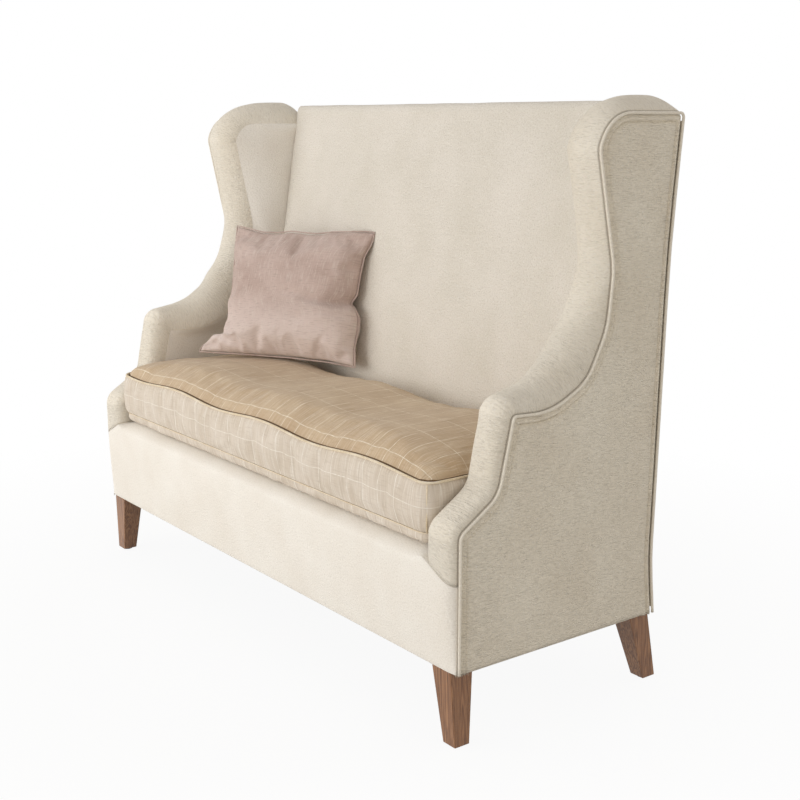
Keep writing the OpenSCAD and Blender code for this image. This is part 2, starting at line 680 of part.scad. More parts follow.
module wing_arm_pad(side) color(cream) placed() on_side(side) {
    outer = pad_path(0);
    inner = pad_path(shoulder);
    board = pad_path(lip);
    lengths = path_lengths(outer);
    n = len(outer);
    total = lengths[n - 1];
    feet = [for (d = lengths) pad_foot(lookup(d / total, foot_shares))];
    table = foot_table([for (f = feet) f[1]]);
    rings = [for (i = [0:n - 1]) [for (q = pad_ring(outer[i], inner[i], board[i], seated(feet[i], table),
        lengths[i] / total, i < n - len(roll_angles) ? 1 : cos(roll_angles[i - n + len(roll_angles)])))
        lifted(q)]];
    mid_x = (pocket_x + arm_in_x) / 2;
    loft(rings, [lifted([mid_x, lip + lip_edge, pad_z0]),
        [(pocket_x + wing_in_x) / 2, roll_end_y - roll_end_r / 3, wing_h - lip - lip_edge]]);
}
module wing_arm_pad_left() { wing_arm_pad(-1); }
module wing_arm_pad_right() { wing_arm_pad(1); }

module outside_cover(side) color(cream_shade) placed() on_side(side)
    across(cover_x0, cover_x1) polygon(flat(path(side_keys, cover_inset)));
module outside_cover_left() { outside_cover(-1); }
module outside_cover_right() { outside_cover(1); }

piping_sides = 6;
module side_piping(side) color(cream) placed() on_side(side)
    bead([for (p = path(side_keys, piping_inset)) [[piping_x, p[0], p[1]], [1, 0, 0], [0, p[2], p[3]]]],
        piping_r, piping_sides, false);
module side_piping_left() { side_piping(-1); }
module side_piping_right() { side_piping(1); }

module outside_back_cover() color(cream_shade) placed() across(-board_x1, board_x1) intersection() {
    polygon(concat(flat(rear_path(back_cover_top, 0)), reversed(flat(rear_path(back_cover_top, cover_t)))));
    translate([0, hem_h + gap]) square([base_d + back_top_y, wing_h]);
}

// Seat cushion

cushion_rear_y = face_y(bead_z0) - crown_at(0, bead_z1 + bead_wave + bead_r) - bead_r - cushion_gap;
cushion_mid_y = (cushion_front_y + cushion_rear_y) / 2;
cushion_keys = [[0, cushion_rear_y, 0], [cushion_x, cushion_rear_y, cushion_r],
    [cushion_x, cushion_front_y, cushion_r], [-cushion_x, cushion_front_y, cushion_r],
    [-cushion_x, cushion_rear_y, cushion_r], [0, cushion_rear_y, 0]];
function cushion_plan(inset) = let (p = path(cushion_keys, inset)) [for (i = [0:len(p) - 2]) p[i]];
// The rear border leans with the back
function rear_lean(y, z) =
    clamped((y - cushion_mid_y) / (cushion_rear_y - cushion_mid_y)) * (z - bead_z0) * back_slope;
function bead_top(x) = bead_z1 + bead_wave * sin(360 * 1.6 * x / cushion_x + 40);
function border_swell(p) = p[3] > 0.5 ? 0 : 1;
// Rings of the cushion: [inset, share of the border height, swell share]
border_levels = [[bead_r + gap, 0, 0], [border_nip, 0.1, 0], [0, 0.35, 1], [0, 0.68, 1], [border_nip, 0.9, 0]];
crown_scales = [0.985, 0.955, 0.9, 0.8, 0.62, 0.35];
function crown_height(x, y) = cushion_crown
    * pow(1 - pow(clamped(abs(x) / cushion_x), 8), 0.5)
    * pow(1 - pow(clamped(abs(y - cushion_mid_y) / (cushion_rear_y - cushion_mid_y)), 5), 0.55);
function level_ring(inset, z0, z1_share, swell) =
    [for (p = cushion_plan(inset))
        let (z = between(bead_z0, bead_top(p[0]), z1_share), s = swell * cushion_bulge * border_swell(p))
        [p[0] + s * p[2], p[1] + s * p[3] + rear_lean(p[1], z), z]];
function under_ring(inset, z) = [for (p = cushion_plan(inset)) [p[0], p[1] + rear_lean(p[1], z), z]];
function crown_ring(scale) =
    [for (p = cushion_plan(bead_r + gap))
        let (x = p[0] * scale, y = between(cushion_mid_y, p[1], scale), z = bead_top(x) + crown_height(x, y))
        [x, y + rear_lean(y, bead_z1), z]];
module cushion_form() {
    rings = concat(
        [under_ring(core_inset, cushion_z0), under_ring(core_inset / 2, cushion_z0 + lip_edge)],
        [for (b = border_levels) level_ring(b[0], bead_z0, b[1], b[2])],
        [level_ring(bead_r + gap, bead_z0, 1, 0)],
        [for (s = crown_scales) crown_ring(s)]);
    loft(rings, [[0, cushion_mid_y, cushion_z0], [0, cushion_mid_y, bead_top(0) + cushion_crown]]);
}
core_low = [-cushion_x + core_inset, cushion_front_y + core_inset, cushion_z0 + under_h / 2];
core_high = [cushion_x - core_inset, cushion_rear_y - core_inset, bead_z1 - under_h / 2];
module seat_cushion_cover() color(check) placed() difference() {
    cushion_form();
    box(core_low - gap * [1, 1, 1], core_high + gap * [1, 1, 1]);
    on_rear_border() box([-zip_l / 2 - gap, -zip_depth, -zip_w / 2], [zip_l / 2 + gap, zip_depth, zip_w / 2]);
}
module seat_cushion_core() color(foam) placed() box(core_low, core_high);

// Two loops of piping round the cushion, at the top and the bottom of its border
function bead_loop(top) = [for (p = cushion_plan(0))
    let (z = top ? bead_top(p[0]) : bead_z0)
    [[p[0], p[1] + rear_lean(p[1], z), z], [p[2], p[3], 0], [0, 0, 1]]];
module seat_cushion_piping() color(check) placed() {
    bead(reversed(bead_loop(true)), bead_r, 6, true);
    bead(reversed(bead_loop(false)), bead_r, 6, true);
}

module on_rear_border() {
    z = (bead_z0 + bead_z1) / 2;
    translate([0, cushion_rear_y + (z - bead_z0) * back_slope, z]) rotate([-back_rake, 0, 0]) children();
}
module seat_cushion_zip() color(black) placed() on_rear_border() {
    box([-zip_l / 2, -zip_depth + gap, -zip_w / 2 + gap], [zip_l / 2, -zip_depth + gap + tape_t, zip_w / 2 - gap]);
    box([-zip_l / 2 + slider_l / 3, -zip_depth + gap + tape_t, -chain_w / 2],
        [zip_l / 2 - slider_l / 3, -zip_depth + gap + tape_t + chain_t, chain_w / 2]);
}
module zip_slider() color(steel) placed() on_rear_border() {
    floor_y = -zip_depth + gap + tape_t + gap;
    roof_y = floor_y + chain_t;
    at = zip_l / 2 - slider_l;
    difference() {
        box([at - slider_l, floor_y, -slider_w / 2], [at, roof_y + slider_wall, slider_w / 2]);
        box([at - slider_l - overrun, floor_y - overrun, -chain_w / 2 - gap], [at + overrun, roof_y, chain_w / 2 + gap]);
    }
    translate([at - slider_l / 2, roof_y + slider_wall, slider_w / 2])
        box([-puller_w / 2, 0, -puller_l], [puller_w / 2, slider_wall / 2, 0]);
}

// Scatter cushion: pulled-in sides, pointed corners and a soft middle

scatter_nu = 14;
scatter_nv = 12;
pull_share = 0.07;
function pillow_point(u, v, side, w, h, t) =
    let (x = w / 2 * u * (1 - pull_share * (1 - v * v) * u * u),
        y = h / 2 * v * (1 - pull_share * (1 - u * u) * v * v),
        fat = pow((1 - pow(abs(u), 2.4)) * (1 - pow(abs(v), 2.4)), 0.55))
    [x, side * t / 2 * fat, y];
// Evenly closer towards the rim
function rim(i, n) = sin(90 * (2 * i / n - 1));
module pillow(w, h, t) {
    nu = scatter_nu;
    nv = scatter_nv;
    front = [for (j = [0:nv], i = [0:nu]) pillow_point(rim(i, nu), rim(j, nv), -1, w, h, t)];
    rear = [for (j = [1:nv - 1], i = [1:nu - 1]) pillow_point(rim(i, nu), rim(j, nv), 1, w, h, t)];
    row = nu + 1;
    f = function (i, j) j * row + i;
    r = function (i, j) (i == 0 || j == 0 || i == nu || j == nv) ? j * row + i
        : row * (nv + 1) + (j - 1) * (nu - 1) + i - 1;
    // Each cell is split towards its own corner of the cushion
    faces = [for (j = [0:nv - 1], i = [0:nu - 1])
        let (inward = (i < nu / 2) == (j < nv / 2))
        each inward ?
            [[f(i, j), f(i + 1, j + 1), f(i + 1, j)], [f(i, j), f(i, j + 1), f(i + 1, j + 1)],
             [r(i, j), r(i + 1, j), r(i + 1, j + 1)], [r(i, j), r(i + 1, j + 1), r(i, j + 1)]] :
            [[f(i, j), f(i, j + 1), f(i + 1, j)], [f(i + 1, j), f(i, j + 1), f(i + 1, j + 1)],
             [r(i, j), r(i + 1, j), r(i, j + 1)], [r(i + 1, j), r(i + 1, j + 1), r(i, j + 1)]]];
    polyhedron(points = concat(front, rear), faces = faces, convexity = 6);
}
scatter_z = bead_z1 + cushion_crown + bead_wave - scatter_sink + scatter_h / 2 * cos(scatter_lean);
module scatter_place() {
    translate([scatter_x, face_y(scatter_z) - scatter_off, scatter_z]) rotate([0, 0, scatter_turn]) rotate([-scatter_lean, 0, 0])
        children();
}
module scatter_cushion() color(plum) placed() scatter_place() pillow(scatter_w, scatter_h, scatter_t);

front_seat_rail();
rear_seat_rail();
side_seat_rail_left();
side_seat_rail_right();
seat_centre_brace();
corner_blocks();
corner_block_screws();
frame_dowels();
side_board_left();
side_board_right();
back_post_left();
back_post_right();
back_top_rail();
back_lower_rail();
back_centre_stile();
front_leg_left();
front_leg_right();
rear_leg_left();
rear_leg_right();
leg_plates();
leg_hanger_bolts();
leg_glides();
seat_webbing_long();
seat_webbing_cross();
back_webbing();
seat_deck_pad();
dust_cover();
front_border();
inside_back_pad();
wing_arm_pad_left();
wing_arm_pad_right();
outside_cover_left();
outside_cover_right();
side_piping_left();
side_piping_right();
outside_back_cover();
seat_cushion_cover();
seat_cushion_core();
seat_cushion_piping();
seat_cushion_zip();
zip_slider();
scatter_cushion();
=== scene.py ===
"""High back settee: its cloth, padding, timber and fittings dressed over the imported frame."""

import math

import bmesh
import bpy
import numpy as np
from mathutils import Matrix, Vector, geometry, noise


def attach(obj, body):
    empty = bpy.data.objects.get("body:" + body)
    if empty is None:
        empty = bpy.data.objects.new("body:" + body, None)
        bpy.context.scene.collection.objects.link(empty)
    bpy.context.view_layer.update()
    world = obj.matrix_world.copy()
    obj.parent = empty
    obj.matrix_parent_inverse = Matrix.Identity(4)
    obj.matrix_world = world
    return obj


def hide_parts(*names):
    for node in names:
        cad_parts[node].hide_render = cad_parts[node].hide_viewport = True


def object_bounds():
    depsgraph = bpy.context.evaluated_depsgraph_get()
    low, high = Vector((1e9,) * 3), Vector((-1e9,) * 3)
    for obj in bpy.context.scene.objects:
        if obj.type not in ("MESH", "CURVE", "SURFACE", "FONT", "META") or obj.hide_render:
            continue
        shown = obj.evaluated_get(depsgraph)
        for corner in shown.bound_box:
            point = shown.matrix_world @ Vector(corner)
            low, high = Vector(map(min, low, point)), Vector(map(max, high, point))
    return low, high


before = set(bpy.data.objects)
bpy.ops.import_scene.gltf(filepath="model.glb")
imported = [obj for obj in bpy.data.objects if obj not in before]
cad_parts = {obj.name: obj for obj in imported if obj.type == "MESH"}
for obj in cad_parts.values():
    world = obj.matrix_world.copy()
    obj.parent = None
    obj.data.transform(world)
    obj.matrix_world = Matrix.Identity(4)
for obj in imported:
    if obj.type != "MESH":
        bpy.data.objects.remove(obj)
cad_low, cad_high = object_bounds()

# Lengths below are in millimetres, on the maker's own depth axis: it starts at the front piping and
# runs to the back. metres() brings them into the frame.
FRONT_PROUD = 17.0
TOP_PROUD = 29.0
MIDDLE = -FRONT_PROUD - cad_low.y * 1000.0
# Padding stops this far short of what it lies against
CLEAR = 0.3
HANDS = ((1, "right"), (-1, "left"))


def metres(points):
    """Millimetre points of the maker's own axes, in metres in the frame."""
    moved = np.array(points, dtype=float) * 0.001
    moved[..., 1] -= MIDDLE * 0.001
    return moved


def between(a, b, s):
    return a + (b - a) * s


def clamped(s):
    return min(1.0, max(0.0, s))


def eased(s):
    c = clamped(s)
    return c * c * (3 - 2 * c)


def wander(x, y, z, size, seed=0.0):
    """Smooth unevenness from -1 to 1, whose bumps are about size across."""
    return noise.noise(Vector((x / size + seed, y / size - seed, z / size + 2 * seed)))


# Side outline

HEM, KNEE, ARM, WING, SEAT_EDGE = 147.0, 405.0, 602.0, 1118.0, 358.0
LIP, SHOULDER, LIP_EDGE, LEAST_R = 24.0, 25.0, 2.0, 2.0
BOARD_X1, COVER_X1 = 702.2, 705.5
ARM_IN, WING_IN, POCKET_X = 623.0, 570.0, 683.9
FRONT_KEYS = [(0, KNEE, 25), (87, 462, 60), (119, ARM, 12), (210, 597, 160), (297, 641, 95),
              (343, 732, 160), (354, 838, 150), (308, 1054, 40), (339, WING, 80)]
REAR_KEYS = [(508, 870, 3000), (493, 262, 500), (505, HEM, 0)]
SIDE_KEYS = [(0, HEM, 0)] + FRONT_KEYS + [(531, WING, 12)] + REAR_KEYS
REAR_TABLE = ([HEM, 262, 870, WING], [505, 493, 508, 531])
ROLL_END, ROLL_END_R = 520.0, 30.0
PAD_Z0, PAD_RISE = 312.0, 40.0
ARC_STEP, LONG_STEP = 5.0, 15.0


def turned(v, degrees):
    c, s = math.cos(math.radians(degrees)), math.sin(math.radians(degrees))
    return np.array([v[0] * c - v[1] * s, v[0] * s + v[1] * c])


def out_normal(a, b):
    """The way out of the settee from the path between two spots."""
    d = b - a
    return turned(d / np.hypot(*d), 90)


def corner(keys, i, inset):
    """Rows of one rounded corner of a path, or the single row at its end."""
    spots = [np.array(k[:2], float) for k in keys]
    last = len(keys) - 1
    if i in (0, last):
        n = out_normal(spots[0], spots[1]) if i == 0 else out_normal(spots[last - 1], spots[last])
        return [np.concatenate([spots[i] - inset * n, n])]
    na, nb = out_normal(spots[i - 1], spots[i]), out_normal(spots[i], spots[i + 1])
    a, b = spots[i] - spots[i - 1], spots[i + 1] - spots[i]
    turn = math.degrees(math.atan2(a[0] * b[1] - a[1] * b[0], a @ b))
    s = spots[i] - inset * (na + nb) / (1 + na @ nb)
    r = keys[i][2] + inset if turn > 0 else max(keys[i][2] - inset, LEAST_R)
    sign = 1 if turn > 0 else -1
    c = s - turned(na, -90) * r * math.tan(math.radians(abs(turn) / 2)) + sign * na * r
    steps = max(2, math.ceil(abs(turn) / ARC_STEP))
    rows = []
    for j in range(steps + 1):
        m = turned(na, turn * j / steps)
        rows.append(np.concatenate([c - sign * r * m, m]))
    return rows


def outline(keys, inset=0.0):
    """Points of a path through the keys, as rows of depth, height and the normal's two parts."""
    rows = []
    for i in range(len(keys)):
        here = corner(keys, i, inset)
        rows += here
        if i + 1 < len(keys):
            after = corner(keys, i + 1, inset)[0]
            span = math.hypot(keys[i + 1][0] - keys[i][0], keys[i + 1][1] - keys[i][1])
            n = math.ceil(span / LONG_STEP) - 1
            rows += [between(here[-1], after, j / (n + 1)) for j in range(1, n + 1)]
    return np.array(rows)


def run_lengths(points):
    """How far along a line each of its points lies."""
    steps = np.linalg.norm(np.diff(np.asarray(points, float), axis=0), axis=1)
    return np.concatenate([[0.0], np.cumsum(steps)])


# Planes of the back

BACK_LEAN = math.radians(9.1)
BACK_SLOPE = math.tan(BACK_LEAN)
ROLL_Z, ROLL_R, BACK_REAR, POST_TOP, BACK_COVER_TOP = 1113.0, 25.0, 527.0, 1085.0, 1100.0
CREASE_Z0, CREASE_Z1, BACK_Z0 = 560.0, 760.0, 352.0
# The plane passes this spot, and the padding behind it ends this much deeper, but not before the rear rail
FACE_Y, FACE_Z, PAD_DEPTH, PAD_REAR_Y = 403.0, 505.0, 8.0, 437.0
BACK_CROWN = 18.0


def face_y(z):
    """Depth of the inside back's plane at a height."""
    return FACE_Y + (z - FACE_Z) * BACK_SLOPE


def pad_back_y(z):
    """Depth at which the back's and the rolls' padding ends on the frame."""
    return max(PAD_REAR_Y, face_y(z) + PAD_DEPTH)


def crease_x(z):
    """Half the width between the rolls' inside faces, which close in above the arms."""
    return between(ARM_IN, WING_IN, clamped((z - CREASE_Z0) / (CREASE_Z1 - CREASE_Z0)))


def back_crown(u, z):
    """How far the inside back swells in front of its plane. u runs from -1 to 1 across it."""
    full = np.interp((z - BACK_Z0) / (ROLL_Z - BACK_Z0), [0, 0.15, 0.45, 0.85, 1], [0.3, 0.35, 1, 1, 0.75])
    return BACK_CROWN * max(0.0, 1 - abs(u) ** 5) ** 0.6 * full


# Colours and finishes. Sizes in them are in metres.

MATH, RANGE, MIX, NOISE, SPLIT = ["ShaderNode" + kind for kind in
                                  ("Math", "MapRange", "Mix", "TexNoise", "SeparateXYZ")]
BIAS = math.radians(45)


def colour(text):
    """Linear colour of an sRGB hex value."""
    parts = [int(text[i:i + 2], 16) / 255 for i in (1, 3, 5)]
    return tuple(p / 12.92 if p <= 0.04045 else ((p + 0.055) / 1.055) ** 2.4 for p in parts) + (1.0,)


def add(tree, kind, inputs=(), give=0, **settings):
    """Adds a node with its settings and links, and gives one output, or the node where give is None.

    Inputs come in order or by name, and each takes a value or another node's socket."""
    made = tree.nodes.new(kind)
    for key, value in settings.items():
        setattr(made, key, value)
    for key, value in inputs.items() if isinstance(inputs, dict) else enumerate(inputs):
        if isinstance(value, bpy.types.NodeSocket):
            tree.links.new(value, made.inputs[key])
        else:
            made.inputs[key].default_value = value
    return made if give is None else made.outputs[give]


def started(name, space, **shader):
    """A new material: itself, its tree, its shader and the places that its patterns read."""
    made = bpy.data.materials.new(name)
    made.use_nodes = True
    tree = made.node_tree
    tree.nodes.clear()
    body = add(tree, "ShaderNodeBsdfPrincipled", {k.replace("_", " "): v for k, v in shader.items()}, None)
    add(tree, "ShaderNodeOutputMaterial", {"Surface": body.outputs[0]}, None)
    return made, tree, body, add(tree, "ShaderNodeTexCoord", give=space)


def dressed(tree, body, tone, layers, relief, strength, depth):
    """Lays tones over a first one and gives the finish its relief.

    A layer is a pattern, the values where it starts and is full, its share and its tone. A part of the
    relief is a pattern and its share."""
    tone = colour(tone)
    for pattern, low, high, share, tint in layers:
        amount = add(tree, RANGE, (pattern, low, high, 0.0, share))
        tone = add(tree, MIX, {0: amount, 6: tone, 7: colour(tint)}, 2, data_type="RGBA")
    height = None
    for pattern, share in relief:
        part = add(tree, MATH, (pattern, share), operation="MULTIPLY")
        height = part if height is None else add(tree, MATH, (height, part), operation="ADD")
    bump = add(tree, "ShaderNodeBump", {"Height": height, "Strength": strength, "Distance": depth})
    tree.links.new(tone, body.inputs["Base Color"])
    tree.links.new(bump, body.inputs["Normal"])


def grain(tree, place, across, along, detail=2.0, rough=0.5, turn=0.0):
    """Noise whose grains are across wide and along long."""
    laid = add(tree, "ShaderNodeMapping", {"Vector": place, "Rotation": (0, 0, turn),
                                           "Scale": (1 / across, 1 / along, 1 / along)})
    return add(tree, NOISE, {"Vector": laid, "Scale": 1.0, "Detail": detail, "Roughness": rough})


def plain_weave(tree, place, pitch):
    """Height of a plain weave whose threads lie pitch apart."""
    split = add(tree, SPLIT, (place,), None)
    waves = [add(tree, MATH, (add(tree, MATH, (split.outputs[k], math.pi / pitch), operation="MULTIPLY"),),
                 operation="SINE") for k in (0, 1)]
    return add(tree, MATH, waves, operation="MULTIPLY")


def cream_weave(name, pale, dark, strands, hairs, shares, depth, fleck, seam_shade):
    """Cream cotton and linen union, slack twisted and brushed, whose hairs lie one way on each panel.

    The real yarns are 0.6 mm thick, too fine to show, so strands and hairs are drawn as tufts of several."""
    made, tree, body, place = started(name, "UV", Roughness=0.92, Sheen_Weight=0.15, Sheen_Roughness=0.5,
                                      Specular_IOR_Level=0.12)
    strand = grain(tree, place, *strands, 2.0, 0.6)
    hair = grain(tree, place, *hairs, 2.0, 0.6)
    tuft = grain(tree, place, 0.0046, 0.0040, 2.0, 0.6)
    cloud = grain(tree, place, 0.13, 0.17)
    across = add(tree, SPLIT, (place,))
    # Strands stand out where the cloth is pulled round the sweep, and relax towards wing and inside face
    up = add(tree, SPLIT, (add(tree, "ShaderNodeTexCoord", give="Object"),), 2)
    taut = add(tree, MATH, (add(tree, RANGE, (up, 0.66, 0.86, 1.0, 0.12)),
                            add(tree, RANGE, (across, 0.055, 0.125, 1.0, 0.12))), operation="MULTIPLY")
    strand = add(tree, MATH, (strand, taut), operation="MULTIPLY")
    # The first 4 mm beside the seam lie in its fold, where the cloth is flattened; their darker tone is painted
    # shade
    layers = [(cloud, 0.3, 0.7, 1.0, dark), (hair, 0.50, 0.32, fleck, "#B5AA96"),
              (tuft, 0.54, 0.70, 0.40, "#F5F1EA"), (across, 0.0040, 0.0008, seam_shade, "#6E6250")]
    weave = plain_weave(tree, place, 0.0011)
    dressed(tree, body, pale, layers, list(zip((weave, strand, hair, tuft), (0.05,) + shares)), 0.85, depth)
    return made


def cream_piping():
    """The same cloth cut on the bias round a cord: threads run slantwise, and some of them are paler."""
    made, tree, body, place = started("cream_bias_piping", "UV", Roughness=0.88, Sheen_Weight=0.25,
                                      Sheen_Roughness=0.4, Specular_IOR_Level=0.2)
    thread = grain(tree, place, 0.0016, 0.0060, turn=BIAS)
    turned_place = add(tree, "ShaderNodeMapping", {"Vector": place, "Rotation": (0, 0, BIAS)})
    weave = plain_weave(tree, turned_place, 0.0011)
    dressed(tree, body, "#DED5C4", [(thread, 0.35, 0.65, 1.0, "#EEE7DA")], [(thread, 1.0), (weave, 0.2)],
            0.5, 0.0009)
    return made


def windowpane_cloth(name, pale, dark, streak_tone, shade_tone, thread_tone):
    """Brushed wool: single threads cross it in a windowpane check, and uneven yarn streaks it."""
    made, tree, body, place = started(name, "UV", Roughness=0.9, Sheen_Weight=0.2, Sheen_Roughness=0.5,
                                      Specular_IOR_Level=0.12)
    # The check wavers by up to 2 mm, as loosely woven cloth does
    sway = add(tree, NOISE, {"Vector": place, "Scale": 14.0, "Detail": 1.0}, 1)
    sway = add(tree, "ShaderNodeVectorMath", (sway, (0.5, 0.5, 0.5)), operation="SUBTRACT")
    swayed = add(tree, "ShaderNodeVectorMath", (sway, (0.0035, 0.0035, 0.0), place), operation="MULTIPLY_ADD")
    split = add(tree, SPLIT, (swayed,), None)
    # Its threads are about 1.5 mm wide, and their edges blur over half a millimetre
    off = [add(tree, MATH, (split.outputs[k], size / 2), operation="PINGPONG")
           for k, size in enumerate((CHECK_U, CHECK_V))]
    lines = add(tree, MATH, [add(tree, RANGE, (a, 0.0010, 0.0004)) for a in off], operation="MAXIMUM")
    worn = add(tree, RANGE, (grain(tree, place, 0.012, 0.012, 3.0), 0.36, 0.60, 0.25, 0.95))
    streak = grain(tree, place, 0.0028, 0.070, 3.0, 0.62)
    cross = grain(tree, place, 0.034, 0.0030, 2.0, 0.6)
    dull = add(tree, MATH, (add(tree, RANGE, (cross, 0.48, 0.30, 0.0, 0.34)),
                            add(tree, RANGE, (streak, 0.47, 0.30, 0.0, 0.45))), operation="MAXIMUM")
    layers = [(grain(tree, place, 0.09, 0.07), 0.3, 0.7, 1.0, dark), (streak, 0.50, 0.70, 0.75, streak_tone),
              (dull, 0.0, 1.0, 1.0, shade_tone),
              (add(tree, MATH, (lines, worn), operation="MULTIPLY"), 0.0, 1.0, 1.0, thread_tone)]
    relief = [(streak, 1.0), (plain_weave(tree, place, 0.0009), 0.15), (cross, 0.6)]
    dressed(tree, body, pale, layers, relief, 0.55, 0.0018)
    return made


def check_piping():
    """The check cloth on the bias round a cord: paler and tighter than the panels."""
    made, tree, body, place = started("windowpane_bias_piping", "UV", Roughness=0.88, Sheen_Weight=0.25,
                                      Sheen_Roughness=0.4, Specular_IOR_Level=0.2)
    thread = grain(tree, place, 0.0014, 0.0050, turn=BIAS)
    patch = grain(tree, place, 0.03, 0.05, 1.0)
    layers = [(thread, 0.35, 0.65, 1.0, "#EADCC3"), (patch, 0.45, 0.65, 0.5, "#F3EAD8")]
    dressed(tree, body, "#CDB895", layers, [(thread, 1.0)], 0.5, 0.0008)
    return made


def slubbed_linen():
    """Dusty pink washed linen: thick and thin yarns leave upright slubs and finer cross threads, and the dye
    took unevenly. The lower half is painted paler: painted light."""
    made, tree, body, place = started("slubbed_washed_linen", "UV", Roughness=0.88, Sheen_Weight=0.2,
                                      Sheen_Roughness=0.5, Specular_IOR_Level=0.2)
    slub = grain(tree, place, 0.0032, 0.036, 3.0, 0.65)
    cross = grain(tree, place, 0.022, 0.0030, 3.0, 0.62)
    # The second layer paints the lower half paler: painted light
    layers = [(grain(tree, place, 0.12, 0.09, 3.0, 0.55), 0.30, 0.70, 1.0, "#B79E93"),
              (add(tree, SPLIT, (place,), 1), 0.02, -0.12, 0.75, "#E8D8D0"),
              (slub, 0.50, 0.72, 0.65, "#DFD3C8"), (cross, 0.48, 0.28, 0.42, "#957F75")]
    relief = [(slub, 1.0), (cross, 0.7), (plain_weave(tree, place, 0.0010), 0.2)]
    dressed(tree, body, "#D0BAB0", layers, relief, 0.6, 0.0020)
    return made


def timber(name, pale, dark, pore, width, roughness, length, upright):
    """Sawn timber with growth rings and pores of a given width and length."""
    made, tree, body, place = started(name, "Object", Roughness=roughness, Specular_IOR_Level=0.35)
    scale = [1 / width, 1 / width, 1 / width]
    scale[2 if upright else 0] = 1 / length
    laid = add(tree, "ShaderNodeMapping", {"Vector": place, "Scale": scale})
    rings = add(tree, NOISE, {"Vector": laid, "Scale": 0.35, "Detail": 2.0, "Distortion": 1.6})
    bands = add(tree, MATH, (add(tree, MATH, (rings, 46.0), operation="MULTIPLY"),), operation="SINE")
    pores = add(tree, NOISE, {"Vector": laid, "Scale": 3.2, "Detail": 4.0, "Roughness": 0.7})
    layers = [(bands, -0.9, 0.9, 1.0, dark), (pores, 0.44, 0.30, 0.75, pore)]
    dressed(tree, body, pale, layers, [(pores, 1.0)], 0.35, 0.0006)
    return made


def birch_ply():
    """Rotary cut birch ply: broad pale flames on its faces, and a glue line between plies 2 mm thick."""
    made, tree, body, place = started("rotary_cut_birch_ply", "Object", Roughness=0.7, Specular_IOR_Level=0.3)
    flame = grain(tree, place, 0.03, 0.16, 3.0, 0.6)
    ply = add(tree, MATH, (add(tree, SPLIT, (place,)), 0.001), operation="PINGPONG")
    layers = [(flame, 0.3, 0.7, 1.0, "#C9A877"), (ply, 0.0004, 0.00025, 1.0, "#8E6F48")]
    dressed(tree, body, "#DCC096", layers, [(flame, 1.0)], 0.2, 0.0008)
    return made


def grainy(name, pale, dark, size, roughness, depth, metallic=0.0):
    """A finish with one fine grain of a given size, drawn about twice the real one so that it shows."""
    made, tree, body, place = started(name, "Object", Roughness=roughness, Metallic=metallic)
    speck = add(tree, NOISE, {"Vector": place, "Scale": 1 / size, "Detail": 3.0, "Roughness": 0.6})
    dressed(tree, body, pale, [(speck, 0.35, 0.65, 1.0, dark)], [(speck, 1.0)], 0.4, depth)
    return made


def ribbed_strap(name, pale, dark, stripe, rib):
    """A narrow woven strap: ribs across it, and a stripe 18 mm off its middle on one side."""
    made, tree, body, place = started(name, "UV", Roughness=0.9, Specular_IOR_Level=0.15)
    across, along = [add(tree, SPLIT, (place,), k) for k in (0, 1)]
    phase = add(tree, MATH, (along, 2 * math.pi / rib), operation="MULTIPLY")
    ribs = add(tree, MATH, (phase,), operation="SINE")
    fibre = grain(tree, place, 0.0012, 0.010, 3.0, 0.6)
    off = add(tree, MATH, (add(tree, MATH, (across, 0.018), operation="SUBTRACT"),), operation="ABSOLUTE")
    dressed(tree, body, pale, [(fibre, 0.3, 0.7, 1.0, dark), (off, 0.0022, 0.0016, 0.8, stripe)],
            [(fibre, 1.0), (ribs, 0.3)], 0.5, 0.0008)
    return made


# Check repeat: 51 mm from thread to thread across the seat, 88 mm from front to back
CHECK_U, CHECK_V = 0.0508, 0.088
# Pulled round the rolls: crosswise ridges 40 mm long that shade one another where light grazes them, with
# painted shade beside the seam
CREAM = cream_weave("cream_union_pulled_round_roll", "#F4ECDD", "#ECE2D0", (0.040, 0.0058), (0.0150, 0.0026),
                    (1.0, 0.55, 0.4), 0.0068, 0.26, 0.55)
# Stretched over the inside back: almost smooth, with a fine pale grain. Its tone, darker than the other copies
# of the same cloth, is painted shade
CREAM_FACE = cream_weave("cream_union_stretched_face", "#E8E1D6", "#DFD8CB", (0.05, 0.05), (0.0034, 0.0030),
                         (0.0, 0.7, 0.7), 0.0032, 0.36, 0.0)
# Outside panels: soft level hairs 16 mm long with a low shade. Their tone, paler and warmer than the roll's
# copy of the same cloth, is painted light
CREAM_SIDE = cream_weave("cream_union_outside_panel", "#FBF2E0", "#F3E8D4", (0.024, 0.0030), (0.0160, 0.0020),
                         (0.9, 0.9, 0.5), 0.0064, 0.32, 0.0)
# The lightest copy of the same cloth, drawn smooth over the rail and down the rolls' inside faces: its lighter
# tone is painted light
CREAM_LIGHT = cream_weave("cream_union_painted_light_face", "#F3EEE5", "#ECE5DA", (0.05, 0.05), (0.0034, 0.0030),
                          (0.0, 0.6, 0.6), 0.0022, 0.20, 0.0)
PIPING = cream_piping()
# Camel top: warm tan with pinkish slubs. The top and border copies of this cloth differ in tone as painted
# light and shade: the top darker, the border paler
CHECK = windowpane_cloth("windowpane_brushed_wool", "#D1BA9B", "#C2A888", "#E3D3BC", "#A98E71", "#F3E9D6")
# The same cloth on the border in a paler, chalky beige copy: painted light on the face turned to the lamps
CHECK_BORDER = windowpane_cloth("windowpane_brushed_wool_border", "#DED2C3", "#D2C4B2", "#EAE2D6", "#B6A795",
                                "#F4EEE4")
CHECK_PIPING = check_piping()
